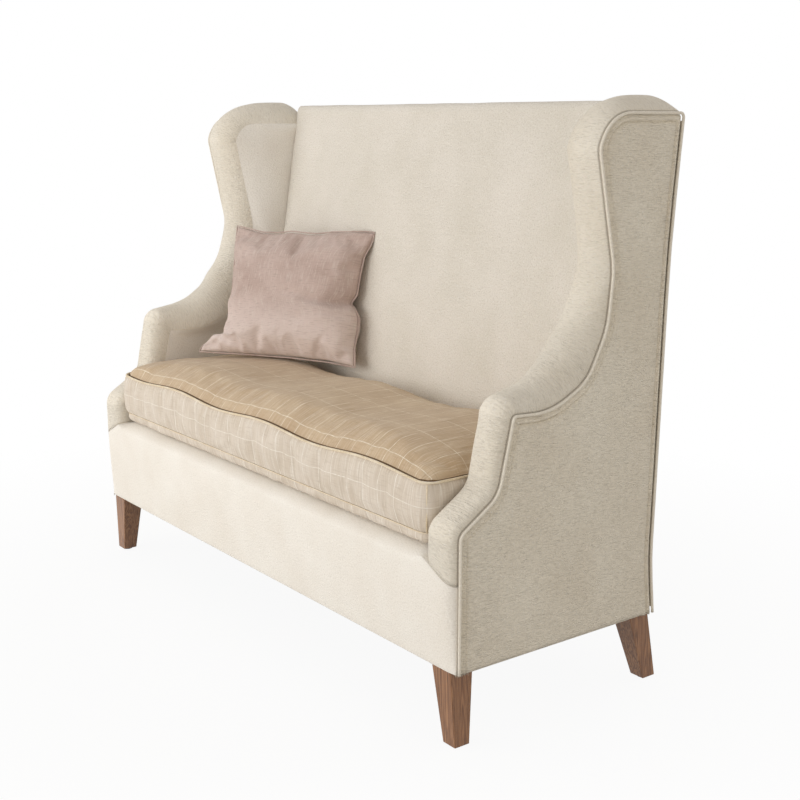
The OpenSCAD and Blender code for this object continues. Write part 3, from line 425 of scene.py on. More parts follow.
# Painted shade along the cushion's seams, where the cloth folds on itself: dark tan
CHECK_SEAM_SHADE = grainy("windowpane_painted_seam_shade", "#7C6349", "#5A4734", 0.0012, 0.95, 0.0003)
LINEN = slubbed_linen()
# Oiled oak, sawn and sanded: grey brown with open dark pores along the leg
OAK = timber("oiled_oak", "#A27551", "#7C5539", "#482E1E", 0.0065, 0.10, 0.55, True)
# Planed beech: pink tan, close grained, with short dark flecks
BEECH = timber("planed_beech", "#DDBE93", "#CBA577", "#A9804F", 0.012, 0.16, 0.6, False)
PLY = birch_ply()
# Zinc plated steel: pale grey with a faint spangle
STEEL = grainy("zinc_plated_steel", "#B9BBBD", "#A2A5A8", 0.0016, 0.36, 0.00008, 1.0)
# Moulded nylon: near black with a fine matt spark
NYLON = grainy("moulded_nylon", "#2C2B2A", "#201F1F", 0.0009, 0.5, 0.0001)
# Cut polyurethane foam: straw coloured, with open cells
FOAM = grainy("cut_polyurethane_foam", "#EBDDAE", "#D9C78E", 0.0014, 0.95, 0.0006)
# Spun nonwoven dust cloth: dark grey, felted, dull
DUST = grainy("spun_nonwoven_dust_cloth", "#3A3938", "#262524", 0.0012, 0.95, 0.0003)
# Cotton deck cloth over the springy edge: plain calico
DECK = grainy("unbleached_calico", "#DAD2C1", "#CBC1AD", 0.0010, 0.92, 0.0002)
# Woven jute webbing: hairy brown ribs with a red brown stripe
JUTE = ribbed_strap("woven_jute_webbing", "#BFA678", "#A1875A", "#7A3F2E", 0.0030)
# Woven polyester zip tape: dull dark brown with fine ribs
TAPE = ribbed_strap("woven_polyester_zip_tape", "#4A443C", "#383229", "#383229", 0.0012)
# Spun polyester thread, waxed by the needle: slightly shiny
THREAD = grainy("spun_polyester_thread", "#E9E1D1", "#CDC2AE", 0.0006, 0.6, 0.00005)


# Making meshes

def grid(points, uv):
    """A patch from a grid of points (rows, columns, 3) with its cloth places in metres."""
    points, uv = np.asarray(points, float), np.asarray(uv, float)
    n, m = points.shape[:2]
    a = (np.arange(n - 1)[:, None] * m + np.arange(m - 1)[None, :]).ravel()
    quads = np.stack([a, a + 1, a + m + 1, a + m], axis=1)
    return points.reshape(-1, 3), uv.reshape(-1, 2), quads.tolist()


def fan(ring, middle):
    """Closes an open ring of points with triangles to a middle point."""
    ring = np.asarray(ring, float)
    n = len(ring)
    points = np.vstack([ring, [middle]])
    return points, points[:, 1:] * 0.001, [[i, (i + 1) % n, n] for i in range(n)]


def made_piece(name, patches, finish, body, slot, weld=0.02, outward=None):
    """One mesh from patches in millimetres. Its doubles are merged, and its faces turned outwards."""
    verts, uvs, faces = [], [], []
    for points, uv, quads in patches:
        base = len(verts)
        verts.extend(map(tuple, metres(points)))
        uvs.extend(map(tuple, uv))
        faces.extend([[base + i for i in q] for q in quads])
    mesh = bpy.data.meshes.new(name)
    mesh.from_pydata(verts, [], faces)
    layer = mesh.uv_layers.new(name="UVMap")
    corners = np.empty(len(mesh.loops), int)
    mesh.loops.foreach_get("vertex_index", corners)
    layer.data.foreach_set("uv", np.array(uvs, float)[corners].ravel())
    form = bmesh.new()
    form.from_mesh(mesh)
    bmesh.ops.remove_doubles(form, verts=form.verts, dist=weld * 0.001)
    bmesh.ops.dissolve_degenerate(form, edges=form.edges, dist=1e-6)
    bmesh.ops.recalc_face_normals(form, faces=form.faces)
    if outward is not None:
        total = Vector((0, 0, 0))
        for f in form.faces:
            total += f.normal * f.calc_area()
        if total.dot(Vector(outward)) < 0:
            bmesh.ops.reverse_faces(form, faces=form.faces)
    for f in form.faces:
        f.smooth = True
    form.to_mesh(mesh)
    form.free()
    return placed_piece(name, mesh, finish, body, slot)


def placed_piece(name, mesh, finish, body, slot):
    piece = bpy.data.objects.new(name, mesh)
    bpy.context.scene.collection.objects.link(piece)
    mesh.materials.clear()
    mesh.materials.append(finish)
    piece["body_name"] = body
    piece["slot_name"] = slot
    return piece


def seated(piece, *nodes, fill=None):
    """Rides the piece on its body and stands it in for CAD nodes."""
    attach(piece, piece["body_name"])
    if nodes:
        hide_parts(*nodes)
    return piece


def rolled_bead(centres, ways, ups, r, sides=12, closed=False, wobble=0.0, seed=0.0):
    """Patches of a round bead along centres; ways and ups span its section."""
    centres, ways, ups = (np.asarray(q, float) for q in (centres, ways, ups))
    if closed:
        centres, ways, ups = (np.vstack([q, q[:1]]) for q in (centres, ways, ups))
    run = run_lengths(centres)
    angles = np.linspace(0, 2 * math.pi, sides + 1)
    rows, uv = [], []
    for i, c in enumerate(centres):
        ring, places = [], []
        s = run[i] if not (closed and i == len(centres) - 1) else 0.0
        uneven = noise.noise(Vector((s * 0.03, seed, 0.0))) + 0.5 * noise.noise(Vector((s * 0.13, seed, 5.0)))
        rr = r * (1 + wobble * uneven)
        for a in angles:
            ring.append(c + rr * (math.cos(a) * ways[i] + math.sin(a) * ups[i]))
            places.append((a * r * 0.001, run[i] * 0.001))
        rows.append(ring)
        uv.append(places)
    patches = [grid(rows, uv)]
    if not closed:
        for k in (0, -1):
            patches.append(fan(rows[k][:-1], centres[k]))
    return patches


def tube(rows, uv):
    """Patches round rows of closed rings, with a fan over each end."""
    rows = np.array(rows, float)
    return [grid(rows, uv)] + [fan(rows[k][:-1], rows[k][:-1].mean(axis=0)) for k in (0, -1)]


def handed(patches, side):
    """The patches of a right hand piece, mirrored where side is -1."""
    return [(points * [side, 1, 1], uv, faces) for points, uv, faces in patches]


def cloth_wall(piece, thickness, offset=-1.0):
    wall = piece.modifiers.new("cloth_thickness", "SOLIDIFY")
    wall.thickness, wall.offset = thickness, offset


def softened(piece):
    smooth = piece.modifiers.new("soft_form", "SUBSURF")
    smooth.levels = smooth.render_levels = 1


# Wing and arm rolls

PAD_KEYS = [(0, PAD_Z0, 0)] + FRONT_KEYS + [(ROLL_END - ROLL_END_R, WING, 0)]
END_ANGLES = [7.5 * k for k in range(1, 13)]
PROUD = ([0, 0.14, 0.25, 0.36, 0.45, 0.6, 0.80, 0.87, 0.94], [0, 0, 0.5, 0.85, 0.6, 0.1, 0.1, 0.5, 1])
SWELL = ([0.28, 0.32, 0.375, 0.42, 0.456, 0.5, 0.55, 0.59, 0.64, 0.68, 0.73, 0.8, 0.86, 0.91],
         [0, 0.32, 0.6, 0.88, 1, 0.75, 0.38, 0.12, -0.12, -0.26, -0.36, -0.38, -0.28, 0])
SWEEP_SWELL = 37.0
# How far along the roll its rings fan evenly, and how far the wing's arch leans over
FAN_REACH, LEAN_OVER = 75.0, 14.0
INNER = ([0.28, 0.36, 0.42, 0.5, 0.6, 0.7, 0.86, 0.95], [0, 0.4, 0.6, 0.6, 0.4, 0.35, 0.4, 1])
FOOT = ([0, 0.054, 0.14, 0.259, 0.343, 0.424, 0.505, 0.599, 0.784, 0.843, 1],
        [0, 0.03, 0.1, 0.197, 0.272, 0.37, 0.48, 0.655, 0.89, 0.94, 1])
FOOT_TURN, FOOT_Y0 = 0.272, 95.0
# Squareness of the arch along the outline: 1 is an ellipse, less is fuller at the shoulders
ARCH_SHARE = ([0, 0.22, 0.32, 0.6, 0.75, 1], [0.72, 0.74, 0.98, 1.05, 1.05, 0.9])
ARCH = np.linspace(0, 180, 45)
INSIDE = np.linspace(0, 1, 25)[1:]


def rounded_table(t, table):
    """A table's value with the corners between its entries rounded off."""
    return float(np.mean([np.interp(t + d, *table) for d in (-0.02, -0.01, 0.0, 0.01, 0.02)]))


def under_rise(x):
    """Rise of a roll's underside towards the seat."""
    return PAD_RISE * clamped((BOARD_X1 - x) / (BOARD_X1 - ARM_IN))


def pad_path(inset):
    """The roll's way from the arm's front to the wing's rear top, with its rounded end."""
    rows = list(outline(PAD_KEYS, inset))
    for a in END_ANGLES:
        y = ROLL_END - ROLL_END_R + ROLL_END_R * math.sin(math.radians(a))
        rows.append(np.array([y, WING - inset, 0, 1]))
    return np.array(rows)


def pad_foot(w):
    """Where the roll's inside face ends, at a share w of the way along the roll."""
    if w < FOOT_TURN:
        return np.array([between(FOOT_Y0, pad_back_y(PAD_Z0), w / FOOT_TURN), PAD_Z0])
    z = between(PAD_Z0, POST_TOP, (w - FOOT_TURN) / (1 - FOOT_TURN))
    return np.array([pad_back_y(z), z])


def lifted(p):
    """A point of the roll, raised near its foot by the underside's rise."""
    return [p[0], p[1], p[2] + under_rise(p[0]) * clamped((KNEE - p[2]) / (KNEE - PAD_Z0))]


def roll_rings():
    """Rings of the right hand roll, each split in its arch, its inside face and its hidden rear."""
    outer, inner, board = pad_path(0), pad_path(SHOULDER), pad_path(LIP)
    run = run_lengths(outer[:, :2])
    share = run / run[-1]
    # Far out on the roll the rings fan round a bend, so that they don't bunch in the hollow of the sweep
    nearness = np.exp(-((run[:, None] - run[None, :]) / FAN_REACH) ** 2) * np.gradient(run)[None, :]
    fanned = nearness @ outer[:, 2:]
    fanned /= np.linalg.norm(fanned, axis=1, keepdims=True)
    feet = [pad_foot(np.interp(w, *FOOT)) for w in share]
    heights = np.array([f[1] for f in feet])
    near = [heights[np.argmin(abs(heights - z))] for z in (CREASE_Z0, CREASE_Z1)]
    arches, insides, rears = [], [], []
    n = len(outer)
    for i in range(n):
        left = n - len(END_ANGLES)
        fade = 1.0 if i < left else math.cos(math.radians(END_ANGLES[i - left]))
        proud = between(FRONT_PROUD, TOP_PROUD, rounded_table(share[i], PROUD))
        proud = (proud + SWEEP_SWELL * rounded_table(share[i], SWELL)) * fade
        x_in = between(ARM_IN, WING_IN, rounded_table(share[i], INNER))
        arch_share = rounded_table(share[i], ARCH_SHARE)
        # On the wing the arch leans over into the inside face, and falls more steeply to its seam
        wing = eased((share[i] - 0.53) / 0.12)
        skew = LEAN_OVER * wing * fade
        half = (BOARD_X1 - x_in - skew) / 2
        mid = BOARD_X1 - half
        foot = feet[i]
        if foot[1] > PAD_Z0:
            z = np.interp(foot[1], [PAD_Z0] + near + [POST_TOP], [PAD_Z0, CREASE_Z0, CREASE_Z1, POST_TOP])
            foot = np.array([pad_back_y(z), z])
            face_x = crease_x(z)
        else:
            face_x = ARM_IN
        p, q_in = outer[i], inner[i, :2]
        arch = []
        for a in ARCH:
            ca, sa = math.cos(math.radians(a)), math.sin(math.radians(a))
            low = SHOULDER if a > 90 else LIP_EDGE
            power = arch_share + (0.3 * wing if a < 90 else 0.0)
            off = -low + (proud + low) * max(0.0, sa) ** power
            x = mid + half * math.copysign(abs(ca) ** power, ca) - (skew * (1 - sa) if a > 90 else 0.0)
            uneven = 0.9 * wander(x, p[0], p[1], 90, 3.1) + 0.35 * wander(x, p[0], p[1], 26, 8.7)
            off += uneven * max(0.0, sa) ** 2 * fade
            way = between(p[2:], fanned[i], eased((off - 14) / 30))
            q = p[:2] + off * way / np.hypot(*way) if off >= 0 else between(p[:2], q_in, -off / SHOULDER)
            arch.append(lifted([x, q[0], q[1]]))
        inside = []
        for s in INSIDE:
            q = between(q_in, foot, s)
            # The face is back on the arm's plane by the height at which the crease starts to slant
            drop = (q_in[1] - q[1]) / max(q_in[1] - CREASE_Z0, 0.3)
            x = between(x_in, face_x, clamped(max(s + 0.1 * math.sin(math.pi * s), drop)))
            full = math.sin(math.pi * s) * eased((q[1] - 520) / 80)
            x += 1.2 * math.sin(math.pi * s) - (4.0 + 5.0 * wing) * full
            x += 1.3 * wander(q[0], q[1], 0, 120, 5.5) * full
            inside.append(lifted([x, q[0], q[1]]))
        hidden = [lifted([x, spot[0], spot[1]]) for x, spot in ((POCKET_X, foot), (POCKET_X, board[i]),
                                                                (BOARD_X1, board[i]))]
        rear = [inside[-1]] + hidden + [arch[0]]
        arches.append(arch)
        insides.append([arch[-1]] + inside)
        rears.append(rear)
    return run, np.array(arches), np.array(insides), np.array(rears)


def wing_arm_roll(side, word):
    run, arches, insides, rears = ROLL
    across = np.cumsum(np.linalg.norm(np.diff(arches, axis=1), axis=2), axis=1)
    across = np.concatenate([np.zeros((len(run), 1)), across], axis=1)
    uv = np.stack([across, np.repeat(run[:, None], across.shape[1], axis=1)], axis=2) * 0.001
    patches = [grid(arches, uv)] + [grid(part, part[:, :, 1:] * 0.001) for part in (insides, rears)]
    first, last = (np.vstack([arches[k], insides[k][1:], rears[k][1:-1]]) for k in (0, -1))
    patches.append(fan(first, lifted([(POCKET_X + ARM_IN) / 2, LIP + LIP_EDGE, PAD_Z0])))
    patches.append(fan(last, [(POCKET_X + WING_IN) / 2, ROLL_END - ROLL_END_R / 3, WING - LIP - LIP_EDGE]))
    piece = made_piece("wing_and_arm_roll_" + word, handed(patches, side), CREAM, "settee", "cream_weave")
    # The inside face and the hidden rear take the lightest copy of the cloth, whose tone is painted light
    piece.data.materials.append(CREAM_LIGHT)
    # Only the inside face and the hidden rear have cloth places equal to their depth and height
    places = piece.data.uv_layers[0].data
    for face in piece.data.polygons:
        spot, place = piece.data.vertices[face.vertices[0]].co, places[face.loop_start].uv
        if abs(place.x - spot.y - MIDDLE * 0.001) + abs(place.y - spot.z) < 1e-4:
            face.material_index = 1
    return piece


ROLL = roll_rings()
for side, word in HANDS:
    seated(wing_arm_roll(side, word), "wing_arm_pad_" + word, fill=0.85)


# Outside covers with their double welt, and the piping round them

WELT = [(7.2, -2.8), (8.2, -2.2), (9.6, -0.8), (11.8, -0.6), (13.2, 0.0), (14.2, 2.4), (15.3, 3.6), (16.4, 2.4),
        (17.3, -0.6), (18.4, -2.4), (19.6, -2.4), (20.6, -1.6), (21.8, -0.5), (24.3, 0.4)]
# Spacing of the points that let the panel puff
PUFF_STEP = 13.0


def outside_cover(side, word):
    loops = []
    for inset, proud in WELT:
        p = outline(SIDE_KEYS, inset)
        x = [COVER_X1 + proud + 0.35 * wander(q[0], q[1], side, 55, 2.0) * eased((inset - 7) / 8) for q in p]
        loops.append(np.column_stack([x, p[:, 0], p[:, 1]]))
    loops = np.array(loops)
    patches = [grid(loops, loops[:, :, 1:] * 0.001)]
    rim = loops[-1]
    hem = [np.array([rim[-1][0], y, HEM]) for y in np.linspace(rim[-1][1], rim[0][1], 34)[1:-1]]
    edge = np.vstack([rim, hem])
    spots = [Vector((p[1], p[2])) for p in edge]
    inner = []
    for y in np.arange(8, 540, PUFF_STEP):
        for z in np.arange(HEM + 9, WING, PUFF_STEP):
            d = min(math.hypot(y - s.x, z - s.y) for s in spots)
            if d > 8 and inside_of(y, z, spots):
                inner.append(Vector((y, z)))
    count = len(spots)
    rim_edges = [(i, (i + 1) % count) for i in range(count)]
    flat, _, tris, *_ = geometry.delaunay_2d_cdt(spots + inner, rim_edges, [], 1, 1e-5)
    points = []
    for k, p in enumerate(flat):
        d = 0.0 if k < count else min(math.hypot(p.x - s.x, p.y - s.y) for s in spots)
        puff = 0.6 + 1.6 * eased(d / 90) + 1.0 * eased(d / 30) * wander(p.x, p.y, side, 110, 4.4)
        x = edge[k][0] if k < count else COVER_X1 + puff
        points.append((x, p.x, p.y))
    points = np.array(points)
    patches.append((points, points[:, 1:] * 0.001, [list(t) for t in tris]))
    piece = made_piece("outside_side_cover_" + word, handed(patches, side), CREAM_SIDE, "settee", "cream_weave",
                       outward=(side, 0, 0))
    cloth_wall(piece, 0.0012)
    seated(piece, "outside_cover_" + word)


def inside_of(y, z, spots):
    """Whether a place lies inside a closed line of spots."""
    crossed = False
    for a, b in zip(spots, spots[1:] + spots[:1]):
        if (a.y > z) != (b.y > z) and y < (b.x - a.x) * (z - a.y) / (b.y - a.y) + a.x:
            crossed = not crossed
    return crossed


PIPING_X, PIPING_INSET, PIPING_R = 706.4, 3.8, 2.8


def side_piping(side, word):
    p = outline(SIDE_KEYS, PIPING_INSET)
    centres = np.column_stack([np.full(len(p), PIPING_X), p[:, 0], p[:, 1]])
    ups = np.column_stack([np.zeros(len(p)), p[:, 2], p[:, 3]])
    ways = np.tile([1.0, 0.0, 0.0], (len(p), 1))
    bead = handed(rolled_bead(centres, ways, ups, PIPING_R, wobble=0.09, seed=side * 3.0), side)
    seated(made_piece("bias_piping_" + word, bead, PIPING, "settee", "cream_piping"), "side_piping_" + word)


for side, word in HANDS:
    outside_cover(side, word)
    side_piping(side, word)


# Inside back, rolled over the top rail

def inside_back():
    """One padded panel, rolled over the top rail and closed behind."""
    us = np.sin(np.linspace(-90, 90, 73) * math.pi / 180)
    levels = (BACK_Z0, CREASE_Z0, 14), (CREASE_Z0, CREASE_Z1, 12), (CREASE_Z1, ROLL_Z, 20)
    face = np.concatenate([np.linspace(*span)[:-1] for span in levels])
    rows, uv = [], []
    for u in us:
        front = face_y(ROLL_Z) - back_crown(u, ROLL_Z)
        mid = (front + BACK_REAR) / 2
        ring = []
        for z in face:
            x = u * (crease_x(z) - CLEAR)
            free = 1 - abs(u) ** 6
            y = face_y(z) - back_crown(u, z)
            y -= 1.5 * wander(x, 0, z, 190, 6.1) * free * eased((z - 560) / 120)
            ring.append((x, y, z))
        for a in np.linspace(0, 180, 19):
            r = math.radians(a)
            bump = 0.8 * wander(u * 570, a, 0, 80, 2.2) * math.sin(r)
            ring.append((u * (WING_IN - CLEAR), mid - (BACK_REAR - mid) * math.cos(r),
                         ROLL_Z + (ROLL_R + bump) * math.sin(r)))
        ring.append((u * (WING_IN - CLEAR), BACK_REAR, BACK_COVER_TOP + 2))
        ring.append((u * (WING_IN - CLEAR), pad_back_y(POST_TOP), POST_TOP + CLEAR))
        for z in (CREASE_Z1, 667.0, CREASE_Z0, BACK_Z0):
            ring.append((u * (crease_x(z) - CLEAR), pad_back_y(z), z))
        ring.append(ring[0])
        run = run_lengths(ring)
        rows.append(ring)
        uv.append([(p[0] * 0.001, s * 0.001) for p, s in zip(ring, run)])
    piece = made_piece("inside_back", tube(rows, uv), CREAM_FACE, "settee", "cream_weave")
    seated(piece, "inside_back_pad", fill=0.8)


inside_back()


# Lower front border

BORDER_TOP_IN, BORDER_R, HEM_BULGE, EDGE_BACK, END_W = 33.0, 25.0, 4.0, 45.0, 30.0
# It lies against the front rail's face, and turns back over the rail at a height
RAIL_FACE, WRAP_Z = 7.7, 304.3


def border_top(x):
    """Height of the front border: level under the cushion, and dipping under the arms' rolls."""
    x = abs(x)
    if x > ARM_IN:
        return PAD_Z0 + under_rise(x) - CLEAR
    return between(SEAT_EDGE, PAD_Z0 + PAD_RISE - CLEAR, eased((x - ARM_IN + BORDER_TOP_IN) / BORDER_TOP_IN))


def front_border():
    """The rail's padded cover with its rolled edge, rounded off at both ends."""
    half = list(np.linspace(0, ARM_IN - BORDER_TOP_IN, 38))
    half += list(np.linspace(ARM_IN - BORDER_TOP_IN, ARM_IN - CLEAR, 9))[1:]
    half += list(np.linspace(ARM_IN + CLEAR, BOARD_X1 - END_W, 7))
    half += [BOARD_X1 - END_W + END_W * math.sin(math.radians(a)) for a in range(8, 91, 8)] + [BOARD_X1]
    xs = [-x for x in reversed(half[1:])] + half
    rows, uv = [], []
    for x in xs:
        ax = abs(x)
        top = border_top(x)
        back = LIP - CLEAR if ax > ARM_IN else EDGE_BACK
        r = between(BORDER_R, LEAST_R, eased((ax - ARM_IN + BORDER_TOP_IN) / BORDER_TOP_IN))
        z1 = top - r
        f = math.sqrt(max(0.0, 1 - clamped((ax - BOARD_X1 + END_W) / END_W) ** 2))
        ring = [(x, RAIL_FACE, HEM), (x, -f * (HEM_BULGE - 2.2), HEM), (x, -f * (HEM_BULGE - 0.4), HEM + 0.7)]
        for s in np.linspace(0.012, 1, 20):
            z = between(HEM, z1, s)
            y = -f * between(HEM_BULGE, FRONT_PROUD, math.sin(math.radians(90 * s)))
            y -= f * 0.8 * wander(x, 0, z, 140, 9.3) * math.sin(math.pi * s)
            ring.append((x, y, z))
        for a in np.linspace(8, 90, 11):
            c, s = math.cos(math.radians(a)), math.sin(math.radians(a))
            ring.append((x, back - (back + f * FRONT_PROUD) * c, z1 + r * s))
        ring += [(x, back, WRAP_Z), (x, RAIL_FACE, WRAP_Z), (x, RAIL_FACE, HEM)]
        run = run_lengths(ring)
        rows.append(ring)
        uv.append([(x * 0.001, s * 0.001) for s in run])
    # The rail's cover takes the lightest copy of the cloth, whose tone is painted light
    piece = made_piece("lower_front_border", tube(rows, uv), CREAM_LIGHT, "settee", "cream_weave")
    seated(piece, "front_border", fill=0.7)


front_border()


# Outside back, dust cover and deck

REAR_LINE = [(np.interp(BACK_COVER_TOP, *REAR_TABLE), BACK_COVER_TOP, 0)] + REAR_KEYS


def outside_back():
    """The panel stretched over the rear, turned in a little along its upper and lower edges."""
    p = outline(REAR_LINE, 0.6)
    p = p[p[:, 1] > HEM + 0.2]
    run = run_lengths(p[:, :2])
    xs = np.linspace(-BOARD_X1 + 0.4, BOARD_X1 - 0.4, 91)
    rows, uv = [], []
    for i, q in enumerate(p):
        edge = min(1.0, run[i] / 12, (run[-1] - run[i]) / 12)
        rows.append([(x, q[0] - 0.9 * (1 - edge) + (0.5 * wander(x, 0, q[1], 130, 7.7)) * edge
                      * eased((BOARD_X1 - abs(x)) / 20), q[1]) for x in xs])
        uv.append([(x * 0.001, q[1] * 0.001) for x in xs])
    piece = made_piece("outside_back", [grid(rows, uv)], CREAM_SIDE, "settee", "cream_weave", outward=(0, 1, 0))
    cloth_wall(piece, 0.0015)
    seated(piece, "outside_back_cover")


RAIL_Y, RAIL_T, REAR_RAIL_Y, REAR_RAIL_T = 8.0, 25.0, 451.7, 34.0
BOARD_X0 = 684.2
BOLT_X = BOARD_X0 - 39.0 / 2
BOLT_YS = (RAIL_Y + RAIL_T / 2, REAR_RAIL_Y + REAR_RAIL_T - 12.0)
# Half the side of the holes that the dust cloth leaves round the bolts
HOLE = 12.3
DUST_Z = 149.6


def dust_cloth():
    """Thin cloth under the rails that sags a little, with holes for the legs' bolts."""
    x1, y0, y1 = BOARD_X0 - CLEAR, RAIL_Y, REAR_RAIL_Y + REAR_RAIL_T
    xs = sorted(set(np.linspace(-BOLT_X + HOLE, BOLT_X - HOLE, 60).tolist()
                    + [s * v for s in (-1, 1) for v in (BOLT_X - HOLE, BOLT_X + HOLE, x1)]))
    ys = sorted(set([y0] + [b + s * HOLE for b in BOLT_YS for s in (-1, 1)]
                    + np.linspace(BOLT_YS[0] + HOLE, BOLT_YS[1] - HOLE, 20).tolist() + [y1]))
    ys = [y for y in ys if y0 <= y <= y1]
    points, quads, area = [], [], 0.0
    for y in ys:
        for x in xs:
            sag = 0.5 * eased(min(x1 - abs(x), y - y0, y1 - y) / 60) * (1 + wander(x, y, 0, 70, 1.2))
            points.append((x, y, DUST_Z - sag))
    for j in range(len(ys) - 1):
        for i in range(len(xs) - 1):
            cx, cy = (xs[i] + xs[i + 1]) / 2, (ys[j] + ys[j + 1]) / 2
            if any(abs(abs(cx) - BOLT_X) < HOLE and abs(cy - b) < HOLE for b in BOLT_YS):
                continue
            a = j * len(xs) + i
            quads.append([a, a + 1, a + len(xs) + 1, a + len(xs)])
            area += (xs[i + 1] - xs[i]) * (ys[j + 1] - ys[j]) * 1e-6
    points = np.array(points)
    piece = made_piece("dust_cloth", [(points, points[:, :2] * 0.001, quads)], DUST, "settee", "dust_cloth",
                       outward=(0, 0, -1))
    cloth_wall(piece, 0.0004, 0.0)
    seated(piece, "dust_cover")


def rounded_block(name, low, high, r, finish, slot, body, crown, step, node, fill):
    """A stuffed block with rounded edges and a slightly crowned top, as one closed grid."""
    low, high = np.array(low, float), np.array(high, float)
    cuts = []
    for k in range(3):
        n = max(2, int((high[k] - low[k] - 2 * r) / step))
        cuts.append(np.concatenate([[low[k]], np.linspace(low[k] + r, high[k] - r, n), [high[k]]]))
    patches = []
    for k in range(3):
        a, b = [q for q in range(3) if q != k]
        for end in (low[k], high[k]):
            rows = []
            for va in cuts[a]:
                row = []
                for vb in cuts[b]:
                    p = np.zeros(3)
                    p[k], p[a], p[b] = end, va, vb
                    core = np.clip(p, low + r, high - r)
                    d = p - core
                    size = np.linalg.norm(d)
                    q = core + d * (r / size if size > r else 1.0)
                    up = (q[2] - low[2]) / (high[2] - low[2])
                    fx = 1 - abs((q[0] - (low[0] + high[0]) / 2) / ((high[0] - low[0]) / 2)) ** 6
                    fy = 1 - abs((q[1] - (low[1] + high[1]) / 2) / ((high[1] - low[1]) / 2)) ** 4
                    q[2] += crown * up * max(0, fx) * max(0, fy) * (1 + 0.2 * wander(q[0], q[1], 0, 90, 3.3))
                    row.append(q)
                rows.append(row)
            rows = np.array(rows)
            uv = rows[:, :, [a, b]] * 0.001
            patches.append(grid(rows, uv))
    seated(made_piece(name, patches, finish, body, slot), node, fill=fill)


deck_rear = face_y(BACK_Z0) - back_crown(0, BACK_Z0) - CLEAR
outside_back()
dust_cloth()
rounded_block("padded_seat_deck", (-622.6, 45.4, 304.4), (622.6, deck_rear, 349.5), 5.0, DECK, "deck_cloth",
              "settee", crown=2.2, step=22.0, node="seat_deck_pad", fill=0.6)


# Webbing

STRAP_W, STRAP_T = 50.0, 2.0
RAIL_TOP = 300.0
WEB_X = BOARD_X0 - LIP
LONG_YS = [between(RAIL_Y + RAIL_T, REAR_RAIL_Y, (i + 0.5) / 5) for i in range(5)]
CROSS_XS = [between(-WEB_X, WEB_X, (i + 0.5) / 9) for i in range(9)]


def strap_line(places, start, first, last):
    """Places along a strap and its rise, over one crossing strap and under the next."""
    stops = [(first, 0.0)]
    for i, place in enumerate(places):
        s = STRAP_T if (i + start) % 2 == 0 else 0.0
        stops += [(place - STRAP_W / 2 - LIP_EDGE, s), (place + STRAP_W / 2 + LIP_EDGE, s)]
    stops.append((last, 0.0))
    line = []
    for (a, za), (b, zb) in zip(stops, stops[1:]):
        n = max(2, int((b - a) / 12)) if za == zb else 6
        line += [(between(a, b, k / n), between(za, zb, eased(k / n))) for k in range(n)]
    return line + [stops[-1]]


def strap_patch(line, place):
    """A flat strap with rounded selvedges. place(along, across, up) gives a point."""
    section = [(-24.6, 0.55), (-24.9, 0.95), (-24.6, 1.35), (-22, 1.85)] + [(w, 1.9) for w in range(-18, 19, 6)]
    section += [(22, 1.85), (24.6, 1.35), (24.9, 0.95), (24.6, 0.55), (22, 0.05)]
    section += [(w, 0.02) for w in range(18, -19, -6)] + [(-22, 0.05), (-24.6, 0.55)]
    rows = [[place(a, w, up + h) for w, h in section] for a, up in line]
    return tube(rows, [[(w * 0.001, a * 0.001) for w, h in section] for a, up in line])


def webbing():
    """Seat straps woven over and under one another, and upright straps behind the back."""
    long_patches, cross_patches, back_patches = [], [], []
    for i, y in enumerate(LONG_YS):
        line = strap_line(CROSS_XS, i, -WEB_X, WEB_X)
        long_patches += strap_patch(line, lambda a, w, h: (a, y + w, RAIL_TOP + h))
    for i, x in enumerate(CROSS_XS):
        line = strap_line(LONG_YS, i + 1, RAIL_Y + LIP_EDGE, REAR_RAIL_Y + REAR_RAIL_T - LIP_EDGE)
        cross_patches += strap_patch(line, lambda a, w, h: (x + w, a, RAIL_TOP + h))
    post_x = BOARD_X0 - 44
    for i in range(7):
        x = between(-post_x, post_x, (i + 0.5) / 7)
        line = [(z, pad_back_y(z) + CLEAR) for z in np.linspace(401, POST_TOP - 0.5, 45)]
        back_patches += strap_patch(line, lambda a, w, h: (x + w, h, a))
    for name, patches, node in (("seat_straps_long", long_patches, "seat_webbing_long"),
                                ("seat_straps_cross", cross_patches, "seat_webbing_cross"),
                                ("back_straps", back_patches, "back_webbing")):
        seated(made_piece(name, patches, JUTE, "settee", "webbing"), node)


webbing()


# Seat cushion

# The cloth is cut so that its check falls where the seams want it: shifts in metres, and the height in
# millimetres from which the border's check counts
SHIFT_X, SHIFT_Y, BORDER_MIDDLE = 0.0188, 0.014, 434.5
# No cloth goes further out than this, beside the arms
SIDE_LIMIT = 622.2
CUSHION_X, CUSHION_R, SEAT_Z0, BEAD_Z0, BEAD_Z1, CROWN = 616.0, 26.0, 358.33, 382.33, 480.33, 42.0
BEAD_REAR_Z = BEAD_Z1 + 5 + 3
REAR_Y = face_y(BEAD_Z0) - back_crown(0, BEAD_REAR_Z) - 3 - 1
CUSHION_MID = REAR_Y / 2


def rear_lean(y, z):
    """How far the cushion's rear half leans back with the settee's back."""
    return clamped((y - CUSHION_MID) / (REAR_Y - CUSHION_MID)) * (z - BEAD_Z0) * BACK_SLOPE


def bead_top(x):
    """Height of the cushion's upper piping, which waves from side to side."""
    return BEAD_Z1 + 5 * math.sin(math.radians(360 * 1.6 * x / CUSHION_X + 40))


def crown_height(x, y):
    """How far the cushion's top stands over its piping."""
    across = max(0.0, 1 - clamped(abs(x) / CUSHION_X) ** 8) ** 0.5
    deep = max(0.0, 1 - clamped(abs(y - CUSHION_MID) / (REAR_Y - CUSHION_MID)) ** 5) ** 0.55
    return CROWN * across * deep


